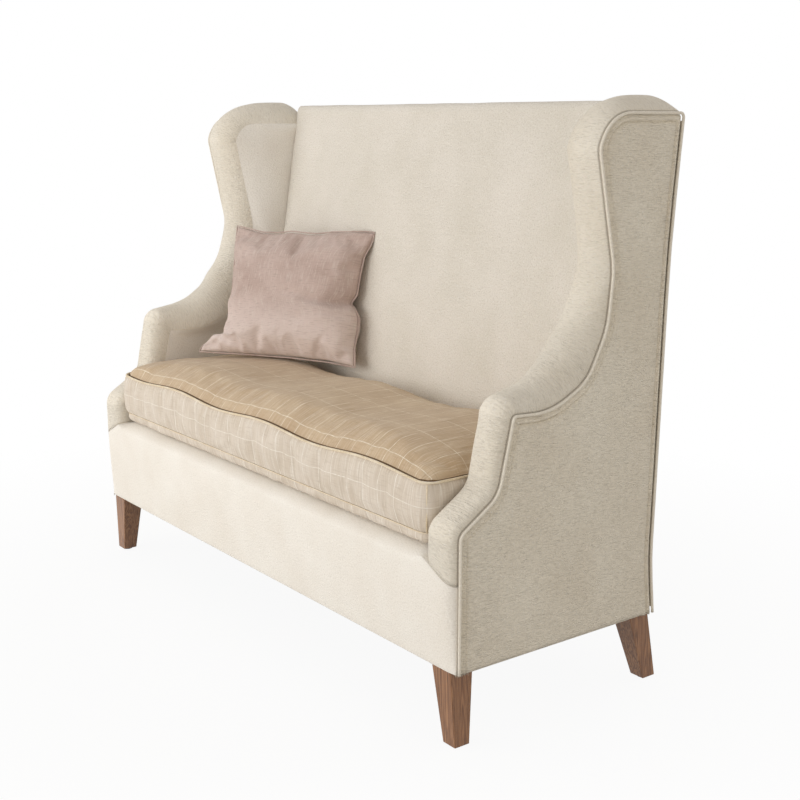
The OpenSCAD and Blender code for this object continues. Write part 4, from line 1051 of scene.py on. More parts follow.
def seat_top(x, y):
    """Height of the cushion's top at a place, on the frame's own form."""
    flat = y - clamped((y - CUSHION_MID) / (REAR_Y - CUSHION_MID)) * (BEAD_Z1 - BEAD_Z0) * BACK_SLOPE
    return bead_top(x) + crown_height(x, flat)


def cushion_cuts(length, n):
    """Places along one side of the plan, closer round the corners."""
    corner_part = np.linspace(0, CUSHION_R, 5)
    straight = np.linspace(CUSHION_R, length - CUSHION_R, n)
    return np.concatenate([corner_part[:-1], straight, (length - corner_part[:-1])[::-1]])


def cushion_plan():
    """Grid of plan points of the rounded rectangle, with the outward way on its edge."""
    xs = cushion_cuts(2 * CUSHION_X, 112) - CUSHION_X
    ys = cushion_cuts(REAR_Y, 33)
    plan = np.zeros((len(xs), len(ys), 2))
    for i, x in enumerate(xs):
        for j, y in enumerate(ys):
            dx = (abs(x) - (CUSHION_X - CUSHION_R)) / CUSHION_R
            dy = (abs(y - CUSHION_MID) - (REAR_Y / 2 - CUSHION_R)) / CUSHION_R
            px, py = abs(x), abs(y - CUSHION_MID)
            if dx > 0 and dy > 0:
                px = CUSHION_X - CUSHION_R + CUSHION_R * dx * math.sqrt(1 - dy * dy / 2)
                py = REAR_Y / 2 - CUSHION_R + CUSHION_R * dy * math.sqrt(1 - dx * dx / 2)
            plan[i, j] = (math.copysign(px, x), CUSHION_MID + math.copysign(py, y - CUSHION_MID))
    return plan


def plan_edge(plan):
    """The edge of the plan in order from the front left corner, with outward ways and the run."""
    n, m = plan.shape[:2]
    order = [(i, 0) for i in range(n)] + [(n - 1, j) for j in range(1, m)]
    order += [(i, m - 1) for i in range(n - 2, -1, -1)] + [(0, j) for j in range(m - 2, 0, -1)]
    edge = np.array([plan[i, j] for i, j in order])
    ways = []
    for x, y in edge:
        cx = max(0.0, abs(x) - (CUSHION_X - CUSHION_R)) * (1 if x > 0 else -1)
        dy = y - CUSHION_MID
        cy = max(0.0, abs(dy) - (REAR_Y / 2 - CUSHION_R)) * (1 if dy > 0 else -1)
        size = math.hypot(cx, cy) or 1.0
        ways.append((cx / size, cy / size))
    return order, edge, np.array(ways)


def line_distance(x, y, line):
    """Distance from a spot to a line of points, and the share of the line at which it is nearest."""
    best, share = 1e9, 0.0
    for k, ((ax, ay), (bx, by)) in enumerate(zip(line, line[1:])):
        dx, dy = bx - ax, by - ay
        s = clamped(((x - ax) * dx + (y - ay) * dy) / (dx * dx + dy * dy))
        d = math.hypot(x - ax - s * dx, y - ay - s * dy)
        if d < best:
            best, share = d, (k + s) / (len(line) - 1)
    return best, share


def folded(x, y, folds):
    """How far the cloth dips at a spot. Each fold has a line from its deep end, a depth and a width."""
    total = 0.0
    for line, depth, width in folds:
        d, share = line_distance(x, y, line)
        if d < 4 * width:
            fade = (1 - share) ** 0.7
            total += depth * fade * math.exp(-(d / width) ** 2)
            beside = line_distance(x, y + 1.7 * width, line)[0]
            total -= 0.45 * depth * fade * math.exp(-(beside / (1.3 * width)) ** 2)
    return total


# Creases in the seat's top, from the front left corner inwards
SEAT_FOLDS = [([(-600, 86), (-566, 51), (-540, 25), (-520, 0)], 5.5, 6.5),
              ([(-618, 128), (-564, 80), (-516, 31)], 4.5, 7.0),
              ([(-606, 60), (-590, 20), (-584, 0)], 4.0, 7.0), ([(-150, 8), (-140, 60)], 1.6, 9.0),
              ([(300, 8), (322, 70)], 1.8, 10.0), ([(604, 70), (560, 40), (530, 10)], 3.0, 8.0)]


def ruffle(u, share, reach=1.0):
    """Soft upright pleats in the border, deeper towards its left end."""
    deep = 1.0 + 1.7 * eased((-430 - u) / 110) + 0.5 * eased((u - 470) / 80)
    narrow = noise.noise(Vector((u / 24, 1.1 * share, 4.0)))
    broad = noise.noise(Vector((u / 62, 0.7 * share, 9.0)))
    return 1.5 * reach * deep * (narrow + 0.6 * broad) * math.sin(math.pi * clamped(share))


def seat_cushion():
    """The box cover as one closed skin: border, top, under panel and the turns between them."""
    plan = cushion_plan()
    order, edge, ways = plan_edge(plan)
    closed_edge = np.vstack([edge, edge[:1]])
    run = run_lengths(closed_edge) - CUSHION_X
    patches = []

    def level(inset, z_of, swell=0.0, share=0.0, reach=1.0):
        ring = []
        for (x, y), (wx, wy), u in zip(edge, ways, run):
            z = z_of(x)
            full = swell * (1 - (wy > 0.5)) + ruffle(u, share, reach) * (wy < 0.1)
            ring.append((x + (full - inset) * wx, y + (full - inset) * wy + rear_lean(y, z), z))
        return ring + ring[:1]

    # Border, from the lower seam to the upper piping
    levels = [(2.4, 0.0, 0.0), (1.2, 0.02, 0.0), (0.4, 0.05, 0.4)]
    levels += [(0.0, s, 6.0 * math.sin(math.pi * s) ** 0.5) for s in np.linspace(0.11, 0.9, 11)]
    levels += [(0.3, 0.95, 0.6), (1.0, 0.98, 0.0), (2.4, 1.0, 0.0)]
    rows, uv = [], []
    for inset, share, swell in levels:
        rows.append(level(inset, lambda x: between(BEAD_Z0, bead_top(x), share), swell, share))
        height = (between(BEAD_Z0, BEAD_Z1, share) - BORDER_MIDDLE) * 0.001
        uv.append([(u * 0.001 - SHIFT_X, height) for u in run])
    patches.append(grid(rows, uv))

    # Top panel, crowned between the pipings, with a groove along its seam
    def top_spot(x, y, px, py):
        rim = min(CUSHION_X - abs(x), y, REAR_Y - y)
        z = bead_top(px) + crown_height(x, y)
        z += 1.6 * wander(px, py, 0, 26, 7.7) * max(0.0, 1 - rim / 60) * eased(rim / 8)
        z += 13.0 * math.exp(-((px + 565) / 46) ** 2) * eased(rim / 26) * eased((320 - py) / 200)
        z += 1.5 * wander(px, py, 0, 120, 2.9) * eased(rim / 60) - folded(px, py, SEAT_FOLDS) * eased(rim / 12)
        return (px, py + rear_lean(py, BEAD_Z1), z)

    grow_x, grow_y = 1 - 6.6 / CUSHION_X, 1 - 13.2 / REAR_Y
    top = [[top_spot(x, y, x * grow_x, CUSHION_MID + (y - CUSHION_MID) * grow_y) for x, y in row]
           for row in plan]
    top_uv = [[(x * 0.001 - SHIFT_X, y * 0.001 - SHIFT_Y) for x, y in row] for row in plan]
    patches.append(grid(top, top_uv))
    top_ring = [top[i][j] for i, j in order]
    join = [level(inset, lambda x: bead_top(x) - dip)
            for inset, dip in ((2.4, 0.0), (2.8, 2.2), (4.2, 3.0), (5.6, 1.4))]
    join.append(top_ring + top_ring[:1])
    patches.append(grid(join, [[(u * 0.001 - SHIFT_X, -0.018 + k * 0.001) for u in run] for k in range(5)]))

    # Under panel: a soft turn under the lower seam, then flat on the settee's edge
    low_levels = [(2.4, BEAD_Z0, 0.0), (1.4, BEAD_Z0 - 2.5, 0.2), (1.2, BEAD_Z0 - 7, 0.5),
                  (2.6, BEAD_Z0 - 13, 0.5), (7.0, BEAD_Z0 - 19.0, 0.4), (14.0, SEAT_Z0 + 1.2, 0.0),
                  (22.0, SEAT_Z0 + 0.1, 0.0)]
    rows, uv = [], []
    for inset, z, share in low_levels:
        rows.append(level(inset, lambda x: z, 0.0, share, 1.4))
        uv.append([(u * 0.001 - SHIFT_X, (z - BEAD_Z0 - inset) * 0.001 - 0.012) for u in run])
    patches.append(grid(rows, uv))
    shrink_x, shrink_y = 1 - 22 / CUSHION_X, 1 - 44 / REAR_Y
    under = []
    for row in plan:
        under.append([(x * shrink_x, CUSHION_MID + (y - CUSHION_MID) * shrink_y + rear_lean(y, SEAT_Z0),
                       SEAT_Z0 + 0.1) for x, y in row])
    patches.append(grid(under, [[(x * 0.001, y * 0.001) for x, y in row] for row in plan]))
    under_ring = [under[i][j] for i, j in order]
    join = [level(22.0, lambda x: SEAT_Z0 + 0.1), under_ring + under_ring[:1]]
    patches.append(grid(join, [[(u * 0.001, k * 0.002) for u in run] for k in (0, 1)]))
    piece = made_piece("seat_cushion", patches, CHECK, "seat_cushion", "windowpane_cloth", weld=0.05)
    # The border and the under panel take the paler border copy, whose tone is painted light
    piece.data.materials.append(CHECK_BORDER)
    # The lower seam and the top's first 10 mm beside the upper piping take the dark tan: painted shade
    piece.data.materials.append(CHECK_SEAM_SHADE)
    for face in piece.data.polygons:
        x, y, z = face.center * 1000.0
        side, front = CUSHION_X - abs(x), y + MIDDLE
        inset = min(side, front)
        if max(side, front) < CUSHION_R:
            inset = CUSHION_R - math.hypot(CUSHION_R - side, CUSHION_R - front)
        sunk = z - bead_top(x)
        if sunk < -0.1 and (z < BEAD_Z1 - 8 or inset < 2.55 or y > 0):
            face.material_index = 2 if abs(z - BEAD_Z0) < 1.2 else 1
        elif sunk < 2.4 and inset < 10.0:
            face.material_index = 2
    return piece


CLOTH_STIFFNESS = 8.0


def cloth_puffed(piece, pinned, cap, frames, pressure, grow):
    """Swells the piece as cloth, keeps each point within cap millimetres, and keeps the result."""
    start = points_of(piece)
    group = piece.vertex_groups.new(name="seams")
    for i, weight in enumerate(pinned):
        if weight > 0:
            group.add([i], float(weight), "REPLACE")
    cloth = piece.modifiers.new("cloth", "CLOTH")
    s = cloth.settings
    s.quality = 6
    s.mass = 0.3
    s.tension_stiffness = s.compression_stiffness = CLOTH_STIFFNESS
    s.shear_stiffness = CLOTH_STIFFNESS / 2
    s.bending_stiffness = 0.6
    s.vertex_group_mass = "seams"
    s.use_pressure = True
    s.uniform_pressure_force = pressure
    s.shrink_min = -grow
    s.effector_weights.gravity = 0.0
    cloth.point_cache.frame_start = 1
    cloth.point_cache.frame_end = frames
    scene = bpy.context.scene
    for f in range(1, frames + 1):
        scene.frame_set(f)
    evaluated = piece.evaluated_get(bpy.context.evaluated_depsgraph_get())
    result = np.empty(len(evaluated.data.vertices) * 3)
    evaluated.data.vertices.foreach_get("co", result)
    result = result.reshape(-1, 3)
    piece.modifiers.remove(cloth)
    piece.vertex_groups.remove(group)
    scene.frame_set(1)
    move = result - start
    size = np.linalg.norm(move, axis=1, keepdims=True)
    move *= np.minimum(1.0, cap * 0.001 / np.maximum(size, 1e-9))
    return start + move


def points_of(piece):
    co = np.empty(len(piece.data.vertices) * 3)
    piece.data.vertices.foreach_get("co", co)
    return co.reshape(-1, 3)


def set_points(piece, points):
    piece.data.vertices.foreach_set("co", np.asarray(points, float).ravel())
    piece.data.update()


def cushion_settled(points):
    """Keeps the cushion clear of the arms, the back, the settee's edge and the scatter cushion."""
    mm = points * 1000.0
    mm[:, 1] += MIDDLE
    for p in mm:
        p[0] = max(-SIDE_LIMIT, min(SIDE_LIMIT, p[0]))
        p[2] = max(SEAT_Z0 + 0.1, p[2])
        u = p[0] / crease_x(p[2])
        p[1] = min(p[1], face_y(p[2]) - back_crown(u, max(p[2], BACK_Z0)) - 0.8)
        if p[2] > BEAD_Z1:
            top = seat_top(p[0], p[1])
            near = eased((280 - abs(p[0] + 345)) / 60) * eased((p[1] - 150) / 50)
            p[2] = min(p[2], top + between(4.0, 0.0, near))
    return metres(mm)


cushion = seat_cushion()
start = points_of(cushion)
swollen = start
mm = start * 1000.0
pins = np.zeros(len(mm))
for i, (x, y, z) in enumerate(mm):
    if z < SEAT_Z0 + 1.0 or abs(z - BEAD_Z0) < 3.0 or -2.5 < z - bead_top(x) < 0.6:
        pins[i] = 1.0
swollen = cloth_puffed(cushion, pins, 5.0, frames=16, pressure=2.0, grow=0.03)
settled = cushion_settled(swollen)
set_points(cushion, settled)
softened(cushion)
seated(cushion, "seat_cushion_cover", fill=0.7)


def cushion_pipings():
    """Piping along both seams, and the two upright seams at the front corners."""
    _, edge, ways = plan_edge(cushion_plan())
    patches = []
    for top in (True, False):
        centres, outs = [], []
        for (x, y), (wx, wy) in zip(edge, ways):
            z, inset = (bead_top(x), 0.2) if top else (BEAD_Z0, 2.0)
            centres.append((x - inset * wx, y - inset * wy + rear_lean(y, z), z))
            outs.append((wx, wy, 0.0))
        ups = np.tile([0.0, 0.0, 1.0], (len(centres), 1))
        patches += rolled_bead(centres, outs, ups, 2.4 if top else 1.2, 10, closed=True, wobble=0.1,
                               seed=4.0 + top)
    # Upright seams where the border turns the two front corners, on the settled cloth
    half = math.sqrt(0.5)
    turn = CUSHION_R * (1 - half)
    flat, soft = start * 1000.0 + [0, MIDDLE, 0], settled * 1000.0 + [0, MIDDLE, 0]
    for side in (1, -1):
        away = np.hypot(flat[:, 0] - side * (CUSHION_X - turn), flat[:, 1] - turn)
        near = [i for i in np.argsort(away)[:40]
                if away[i] < 8.5 and BEAD_Z0 < flat[i, 2] < bead_top(CUSHION_X) + 8
                and abs(flat[i, 0] * side - CUSHION_X + flat[i, 1]) < 0.6]
        near.sort(key=lambda i: flat[i, 2])
        spots = soft[near]
        n = len(spots)
        patches += rolled_bead(spots, np.tile([side * half, -half, 0.0], (n, 1)),
                               np.tile([side * half, half, 0.0], (n, 1)), 1.5, 8, wobble=0.1, seed=6.0)
    piece = made_piece("seat_cushion_bias_piping", patches, CHECK_PIPING, "seat_cushion", "windowpane_cloth")
    seated(piece, "seat_cushion_piping")


cushion_pipings()
# The core stops short of the cover by the wadding round it
WADDING, WADDING_Z = 31.0, 13
core_low = (-CUSHION_X + WADDING, WADDING, SEAT_Z0 + WADDING_Z)
core_high = (CUSHION_X - WADDING, REAR_Y - WADDING, BEAD_Z1 - WADDING_Z)
rounded_block("foam_core", core_low, core_high, 9.0, FOAM, "foam", "seat_cushion", crown=0.0, step=60.0,
              node="seat_cushion_core", fill=1.0)


# Zip in the cushion's rear border

ZIP_Z = (BEAD_Z0 + BEAD_Z1) / 2
ZIP_Y = REAR_Y + (ZIP_Z - BEAD_Z0) * BACK_SLOPE


def on_rear_border(x, out, up):
    """A point on the leaning rear border, out of it and up along it."""
    c, s = math.cos(BACK_LEAN), math.sin(BACK_LEAN)
    return (x, ZIP_Y + out * c + up * s, ZIP_Z - out * s + up * c)


def zip_tape():
    patches = []
    xs = np.linspace(-520, 520, 105)
    section = [(-6.7, -13.7), (-5.9, -13.7), (-5.75, -8), (-5.7, -3), (-5.2, -2.2), (-5.2, -0.25), (-5.9, -0.2),
               (-6.7, -0.2), (-6.7, -13.7)]
    for sign in (1, -1):
        rows = [[on_rear_border(x, out, sign * up) for out, up in section] for x in xs]
        patches += tube(rows, [[(up * 0.001, x * 0.001) for out, up in section] for x in xs])
    return made_piece("zip_tape", patches, TAPE, "seat_cushion", "zip_tape")


# Stitches, staples, zip teeth and frayed threads, by node trees

LAID = {"Pitch": "Float", "Length": "Float", "Thickness": "Float", "Finish": "Material"}


def laying_tree(name, form, settings, sides, loose=False):
    """Lays one small form along a curve, a pitch apart, and gives the tree with its inputs by name.

    sides says which length, and what share of it, the form takes each way. Loose ones are turned and
    sized at random, with fixed seeds."""
    tree = bpy.data.node_groups.new(name, "GeometryNodeTree")
    for way in ("INPUT", "OUTPUT"):
        tree.interface.new_socket("Geometry", in_out=way, socket_type="NodeSocketGeometry")
    names = {}
    for label, sort in LAID.items():
        socket = tree.interface.new_socket(label, in_out="INPUT", socket_type="NodeSocket" + sort)
        names[label] = socket.identifier
    given = add(tree, "NodeGroupInput", give=None).outputs
    points = add(tree, "GeometryNodeCurveToPoints", {"Curve": given["Geometry"], "Length": given["Pitch"]},
                 None, mode="LENGTH").outputs
    size = [add(tree, MATH, (given[label], share), operation="MULTIPLY") for label, share in sides]
    unit = add(tree, "GeometryNodeTransform", {"Geometry": add(tree, form, settings),
                                               "Scale": add(tree, "ShaderNodeCombineXYZ", size)})
    turn, scale = points["Rotation"], (1.0, 1.0, 1.0)
    if loose:
        turn = add(tree, "FunctionNodeRandomValue", {0: (2.3, -0.7, -3.1), 1: (3.9, 0.7, 3.1), "Seed": 11},
                   data_type="FLOAT_VECTOR")
        scale = add(tree, "FunctionNodeRandomValue", {2: 0.35, 3: 1.1, "Seed": 23}, 1, data_type="FLOAT")
    laid = add(tree, "GeometryNodeInstanceOnPoints", {"Points": points[0], "Instance": unit, "Rotation": turn,
                                                      "Scale": scale})
    real = add(tree, "GeometryNodeRealizeInstances", (laid,))
    finished = add(tree, "GeometryNodeSetMaterial", {"Geometry": real, "Material": given["Finish"]})
    add(tree, "NodeGroupOutput", (finished,), None)
    return tree, names


ROUND = (("Thickness", 1.0), ("Thickness", 1.0), ("Length", 1.0))
# Small round-ended threads, laid end to end
STITCHES = laying_tree("row_of_stitches", "GeometryNodeMeshUVSphere",
                       {"Segments": 6, "Rings": 5, "Radius": 0.5}, ROUND)
# Small blocks that mesh with those of the other row
TEETH = laying_tree("zip_teeth", "GeometryNodeMeshCube", {},
                    (("Thickness", 1.0), ("Length", 1.0), ("Pitch", 0.62)))
# Loose thread ends that taper
FRAY = laying_tree("frayed_threads", "GeometryNodeMeshCone",
                   {"Vertices": 5, "Radius Top": 0.1, "Radius Bottom": 0.5, "Depth": 1.0}, ROUND, loose=True)


def laid_along(name, runs, kind, pitch, length, thickness, finish, body, slot):
    """Runs of points in millimetres, dressed by one of the trees and kept as one plain mesh."""
    curve = bpy.data.curves.new(name + "_line", "CURVE")
    curve.dimensions = "3D"
    for run in runs:
        spots = metres(run)
        spline = curve.splines.new("POLY")
        spline.points.add(len(spots) - 1)
        spline.points.foreach_set("co", np.column_stack([spots, np.ones(len(spots))]).ravel())
    line = bpy.data.objects.new(name + "_line", curve)
    bpy.context.scene.collection.objects.link(line)
    tree, names = kind
    modifier = line.modifiers.new("laid", "NODES")
    modifier.node_group = tree
    for label, value in (("Pitch", pitch), ("Length", length), ("Thickness", thickness)):
        modifier[names[label]] = value * 0.001
    modifier[names["Finish"]] = finish
    seen = line.evaluated_get(bpy.context.evaluated_depsgraph_get())
    mesh = bpy.data.meshes.new_from_object(seen)
    bpy.data.objects.remove(line)
    for p in mesh.polygons:
        p.use_smooth = kind is STITCHES
    seated(placed_piece(name, mesh, finish, body, slot))


def mirrored(runs):
    return [np.asarray(r, float) * [-1, 1, 1] for r in runs]


seated(zip_tape(), "seat_cushion_zip")
for word, first, last, up in (("upper", -512, 512, 1.1), ("lower", -510.8, 513.2, -1.1)):
    row = [on_rear_border(x, -4.2, up) for x in (first, last)]
    laid_along("zip_teeth_" + word, [row], TEETH, 2.4, 2.6, 2.0, NYLON, "seat_cushion", "nylon")


# Inset of the welt's groove from the side's outline
GROOVE = 19.9


def welt_stitches():
    """Topstitching in the groove of each outside cover's double welt."""
    p = outline(SIDE_KEYS, GROOVE)
    run = np.column_stack([np.full(len(p), COVER_X1 - 1.3), p[:, 0], p[:, 1]])[1:-1]
    laid_along("welt_topstitching", [run] + mirrored([run]), STITCHES, 5.0, 3.4, 0.7, THREAD, "settee",
               "cream_piping")


def back_stitches():
    """Stitches down both sides and along the top of the outside back."""
    rear = outline(REAR_LINE)
    rear = rear[(rear[:, 1] > HEM + 6) & (rear[:, 1] < BACK_COVER_TOP - 5)]
    down = np.column_stack([np.full(len(rear), BOARD_X1 - 4.5), rear[:, 0] + 0.1, rear[:, 1]])
    z = BACK_COVER_TOP - 5
    top = [(x, np.interp(z, *REAR_TABLE) + 0.1, z) for x in np.linspace(-695, 695, 30)]
    laid_along("outside_back_stitching", [down, top] + mirrored([down]), STITCHES, 7.0, 4.2, 0.8, THREAD,
               "settee", "cream_piping")


STAPLE_Z = 148.7


def staples():
    """Staples that hold the dust cloth and the straps' ends."""
    front = [(x, RAIL_Y + 7, STAPLE_Z) for x in (-640, 640)]
    rear = [(x, REAR_RAIL_Y + REAR_RAIL_T - 6, STAPLE_Z) for x in (-640, 640)]
    side = [(BOARD_X0 - 8, y, STAPLE_Z) for y in (50, 440)]
    laid_along("dust_cloth_staples", [front, rear, side] + mirrored([side]), STITCHES, 42.0, 11.0, 1.0, STEEL,
               "settee", "zinc_steel")
    ends = []
    for y in LONG_YS:
        for x in (8 - WEB_X, WEB_X - 8):
            ends.append([(x, y + half, RAIL_TOP + 2.1) for half in (-21, 21)])
    laid_along("webbing_staples", ends, STITCHES, 10.5, 8.0, 1.1, STEEL, "settee", "zinc_steel")


welt_stitches()
back_stitches()
staples()


def frayed_hem():
    """Loose threads at the front corners of the hem."""
    right = [(703 + 2 * math.sin(y), y, HEM + 0.6) for y in np.linspace(-2, 26, 20)]
    runs = [right] + mirrored([right])
    laid_along("frayed_hem_threads", runs, FRAY, 0.55, 6.5, 0.9, CREAM, "settee", "cream_weave")


frayed_hem()


# Scatter cushion

SCATTER = dict(x=-345.0, y=313.4, turn=21.0, lean=14.0, h=345.0, t=125.0)
SCATTER_Z = BEAD_Z1 + CROWN + 5 - 12.8 + SCATTER["h"] / 2 * math.cos(math.radians(SCATTER["lean"]))
NU, NV = 56, 46
# Its sewn rim on the leaning middle plane, from left to right and from the foot up
RIM_TOP = [(-177, 164), (-141, 159), (-94, 152), (-49, 152), (-5, 158), (69, 155), (121, 162), (208, 167),
           (238, 168)]
RIM_FOOT = [(-234, -163), (-144, -158), (-75, -155), (43, -151), (152, -151), (230, -156)]
RIM_LEFT = [(-234, -163), (-231, -150), (-204, -119), (-177, -112), (-174, -95), (-167, -70), (-170, -36),
            (-167, 7), (-171, 68), (-176, 145), (-177, 164)]
RIM_RIGHT = [(230, -156), (223, -111), (225, -67), (222, -38), (212, -19), (195, -8), (210, 16), (213, 68),
             (217, 106), (228, 130), (238, 168)]
# Creases on its front: two from the pinch in the right side, one at each ear and a slack one on top
LINEN_FOLDS = [([(223, -10), (195, -13), (161, -17), (116, -7), (78, 3), (8, 7)], 11.0, 8.0),
               ([(246, -44), (204, -39), (170, -37), (140, -33), (124, -19)], 8.0, 7.0),
               ([(98, -58), (40, -51)], 3.0, 9.0), ([(238, 121), (214, 144), (201, 153)], 6.0, 7.0),
               ([(-212, -104), (-169, -113), (-104, -135), (-55, -148)], 11.0, 8.0),
               ([(-165, 152), (-125, 136), (-73, 121), (-26, 119)], 6.0, 12.0)]


def rim_spot(line, s):
    """The spot at a share s of a line's length."""
    run = run_lengths(line)
    at = s * run[-1]
    return np.array([np.interp(at, run, [p[0] for p in line]), np.interp(at, run, [p[1] for p in line])])


def linen_form():
    """Both panels of the cover: a patch between the four sewn sides, fattest below its middle."""
    ss, ts = np.linspace(0, 1, NU + 1), np.linspace(0, 1, NV + 1)
    foot, top = [rim_spot(RIM_FOOT, s) for s in ss], [rim_spot(RIM_TOP, s) for s in ss]
    left, right = [rim_spot(RIM_LEFT, t) for t in ts], [rim_spot(RIM_RIGHT, t) for t in ts]
    patches = []
    for side in (-1, 1):
        rows, uv = [], []
        for j, t in enumerate(ts):
            row, places = [], []
            for i, s in enumerate(ss):
                flat = (1 - t) * foot[i] + t * top[i] + (1 - s) * left[j] + s * right[j]
                flat -= (1 - t) * ((1 - s) * foot[0] + s * foot[-1]) + t * ((1 - s) * top[0] + s * top[-1])
                u, v = 2 * s - 1, 2 * t - 1
                fat = max(0.0, (1 - abs(u) ** 2.6) * (1 - abs(v) ** 2.6)) ** 0.55 * (1 - 0.14 * v)
                row.append((flat[0], side * 0.47 * SCATTER["t"] * fat, flat[1]))
                places.append((0.22 * u + (1.0 if side > 0 else 0.0), 0.19 * v))
            rows.append(row)
            uv.append(places)
        patches.append(grid(rows, uv))
    return patches


def scatter_cushion():
    """The puffed cover with its creases and ears, leaned into its corner, and its sewn seam."""
    piece = made_piece("scatter_cushion_cover", linen_form(), LINEN, "scatter_cushion", "slubbed_linen",
                       weld=0.01)
    form = points_of(piece) * 1000.0 + [0, MIDDLE, 0]
    on_rim = abs(form[:, 1]) < 0.05
    front = form[:, 1] < 0.05
    # The sewn rim's points, in order round the cushion
    ring = [rim_spot(RIM_FOOT, s) for s in np.linspace(0, 1, NU + 1)][:-1]
    ring += [rim_spot(RIM_RIGHT, t) for t in np.linspace(0, 1, NV + 1)][:-1]
    ring += [rim_spot(RIM_TOP, s) for s in np.linspace(1, 0, NU + 1)][:-1]
    ring += [rim_spot(RIM_LEFT, t) for t in np.linspace(1, 0, NV + 1)][:-1]
    rim = [int(np.argmin(np.hypot(form[:, 0] - x, form[:, 2] - z) + abs(form[:, 1]))) for x, z in ring]
    form = cloth_puffed(piece, on_rim.astype(float), 9.0, frames=22, pressure=2.5, grow=0.05) * 1000.0
    form[:, 1] += MIDDLE
    flat = form[:, [0, 2]].copy()
    for i, (x, z) in enumerate(flat):
        thick = clamped(abs(form[i, 1]) / 22)
        if front[i]:
            form[i, 1] += folded(x, z, LINEN_FOLDS) * max(thick, 0.25)
        form[i, 1] += (1.6 * wander(x, z, form[i, 1], 46, 3.0) + 0.8 * wander(x, z, 0, 19, 8.0)) * thick
    # Ears: the lower left one flops forward, the upper right one folds back
    form[:, 1] -= 16.0 * np.exp(-((flat[:, 0] + 236) ** 2 + (flat[:, 1] + 166) ** 2) / 38.0 ** 2)
    form[:, 1] += 9.0 * np.exp(-((flat[:, 0] - 240) ** 2 + (flat[:, 1] - 170) ** 2) / 26.0 ** 2)
    # Leaned and turned to its place
    lean, turn = math.radians(-SCATTER["lean"]), math.radians(SCATTER["turn"])
    y = form[:, 1] * math.cos(lean) - form[:, 2] * math.sin(lean)
    z = form[:, 1] * math.sin(lean) + form[:, 2] * math.cos(lean)
    x = form[:, 0] * math.cos(turn) - y * math.sin(turn)
    y = form[:, 0] * math.sin(turn) + y * math.cos(turn)
    spots = np.column_stack([x + SCATTER["x"], y + SCATTER["y"], z + SCATTER_Z])
    for p in spots:
        if p[2] > BEAD_Z1 and p[1] > 20:
            p[2] = max(p[2], seat_top(p[0], p[1]) + 0.7)
        edge_x = crease_x(p[2]) - CLEAR
        p[0] = max(p[0], -edge_x + 2.0)
        p[1] = min(p[1], face_y(p[2]) - back_crown(p[0] / edge_x, p[2]) - 2.4)
    set_points(piece, metres(spots))
    softened(piece)
    seated(piece, "scatter_cushion", fill=0.55)
    centres = spots[rim]
    along = np.roll(centres, -1, axis=0) - np.roll(centres, 1, axis=0)
    along /= np.linalg.norm(along, axis=1, keepdims=True)
    outs = np.cross(along, np.array([math.sin(turn), -math.cos(turn), 0.0]))
    outs /= np.linalg.norm(outs, axis=1, keepdims=True)
    ups = np.cross(outs, along)
    seam = rolled_bead(centres, outs, ups, 1.7, 8, closed=True, wobble=0.25, seed=9.0)
    seated(made_piece("scatter_cushion_seam", seam, LINEN, "scatter_cushion", "slubbed_linen"))


scatter_cushion()


# Legs: square tapered oak with eased edges

# Width of a leg at its top and at its foot, and the thickness of the glide under it
LEG_TOP, LEG_FOOT, GLIDE_T = 52, 34, 3.5


def leg(name, node, side, y0, y1, foot_y0, foot_y1):
    """One tapered leg. Its top runs from y0 to y1 in depth, and its foot from foot_y0 to foot_y1."""
    top_x1, foot_x1 = COVER_X1 - 16, COVER_X1 - 8
    top_x0, foot_x0 = top_x1 - LEG_TOP, foot_x1 - LEG_FOOT
    top = [(top_x0, y0), (top_x1, y0), (top_x1, y1), (top_x0, y1)]
    foot = [(foot_x0, foot_y0), (foot_x1, foot_y0), (foot_x1, foot_y1), (foot_x0, foot_y1)]
    verts = [(side * x, y, GLIDE_T) for x, y in foot] + [(side * x, y, HEM) for x, y in top]
    faces = [[3, 2, 1, 0], [4, 5, 6, 7]] + [[i, (i + 1) % 4, 4 + (i + 1) % 4, 4 + i] for i in range(4)]
    mesh = bpy.data.meshes.new(name)
    mesh.from_pydata([tuple(p) for p in metres(verts)], [], faces)
    form = bmesh.new()
    form.from_mesh(mesh)
    bmesh.ops.recalc_face_normals(form, faces=form.faces)
    bmesh.ops.bevel(form, geom=form.edges[:], offset=0.0016, segments=3, profile=0.5, affect="EDGES")
    for f in form.faces:
        f.smooth = f.calc_area() < 2e-4
    form.to_mesh(mesh)
    form.free()
    seated(placed_piece(name, mesh, OAK, "settee", "oak"), node)


for side, word in HANDS:
    leg("tapered_front_leg_" + word, "front_leg_" + word, side, -3, 49, 3, 37)
    leg("tapered_rear_leg_" + word, "rear_leg_" + word, side, 453, 505, 492, 526)


# CAD nodes that stay, each with the finish of what it is

KEPT = {BEECH: ["front_seat_rail", "rear_seat_rail", "side_seat_rail_left", "side_seat_rail_right",
                "seat_centre_brace", "corner_blocks", "frame_dowels", "back_post_left", "back_post_right",
                "back_top_rail", "back_lower_rail", "back_centre_stile"],
        PLY: ["side_board_left", "side_board_right"],
        STEEL: ["corner_block_screws", "leg_plates", "leg_hanger_bolts", "zip_slider"],
        NYLON: ["leg_glides"]}
for finish, names in KEPT.items():
    for name in names:
        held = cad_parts[name]
        held.data.materials.clear()
        held.data.materials.append(finish)


# Floor, light and camera. Places are in metres, in the frame.

def seen_rays(tree):
    """1 on the rays that the camera gets, straight or by way of a mirror or glass."""
    path = add(tree, "ShaderNodeLightPath", give=None).outputs
    seen = path["Is Camera Ray"]
    for other in ("Is Glossy Ray", "Is Transmission Ray"):
        seen = add(tree, MATH, (seen, path[other]), operation="MAXIMUM")
    return seen


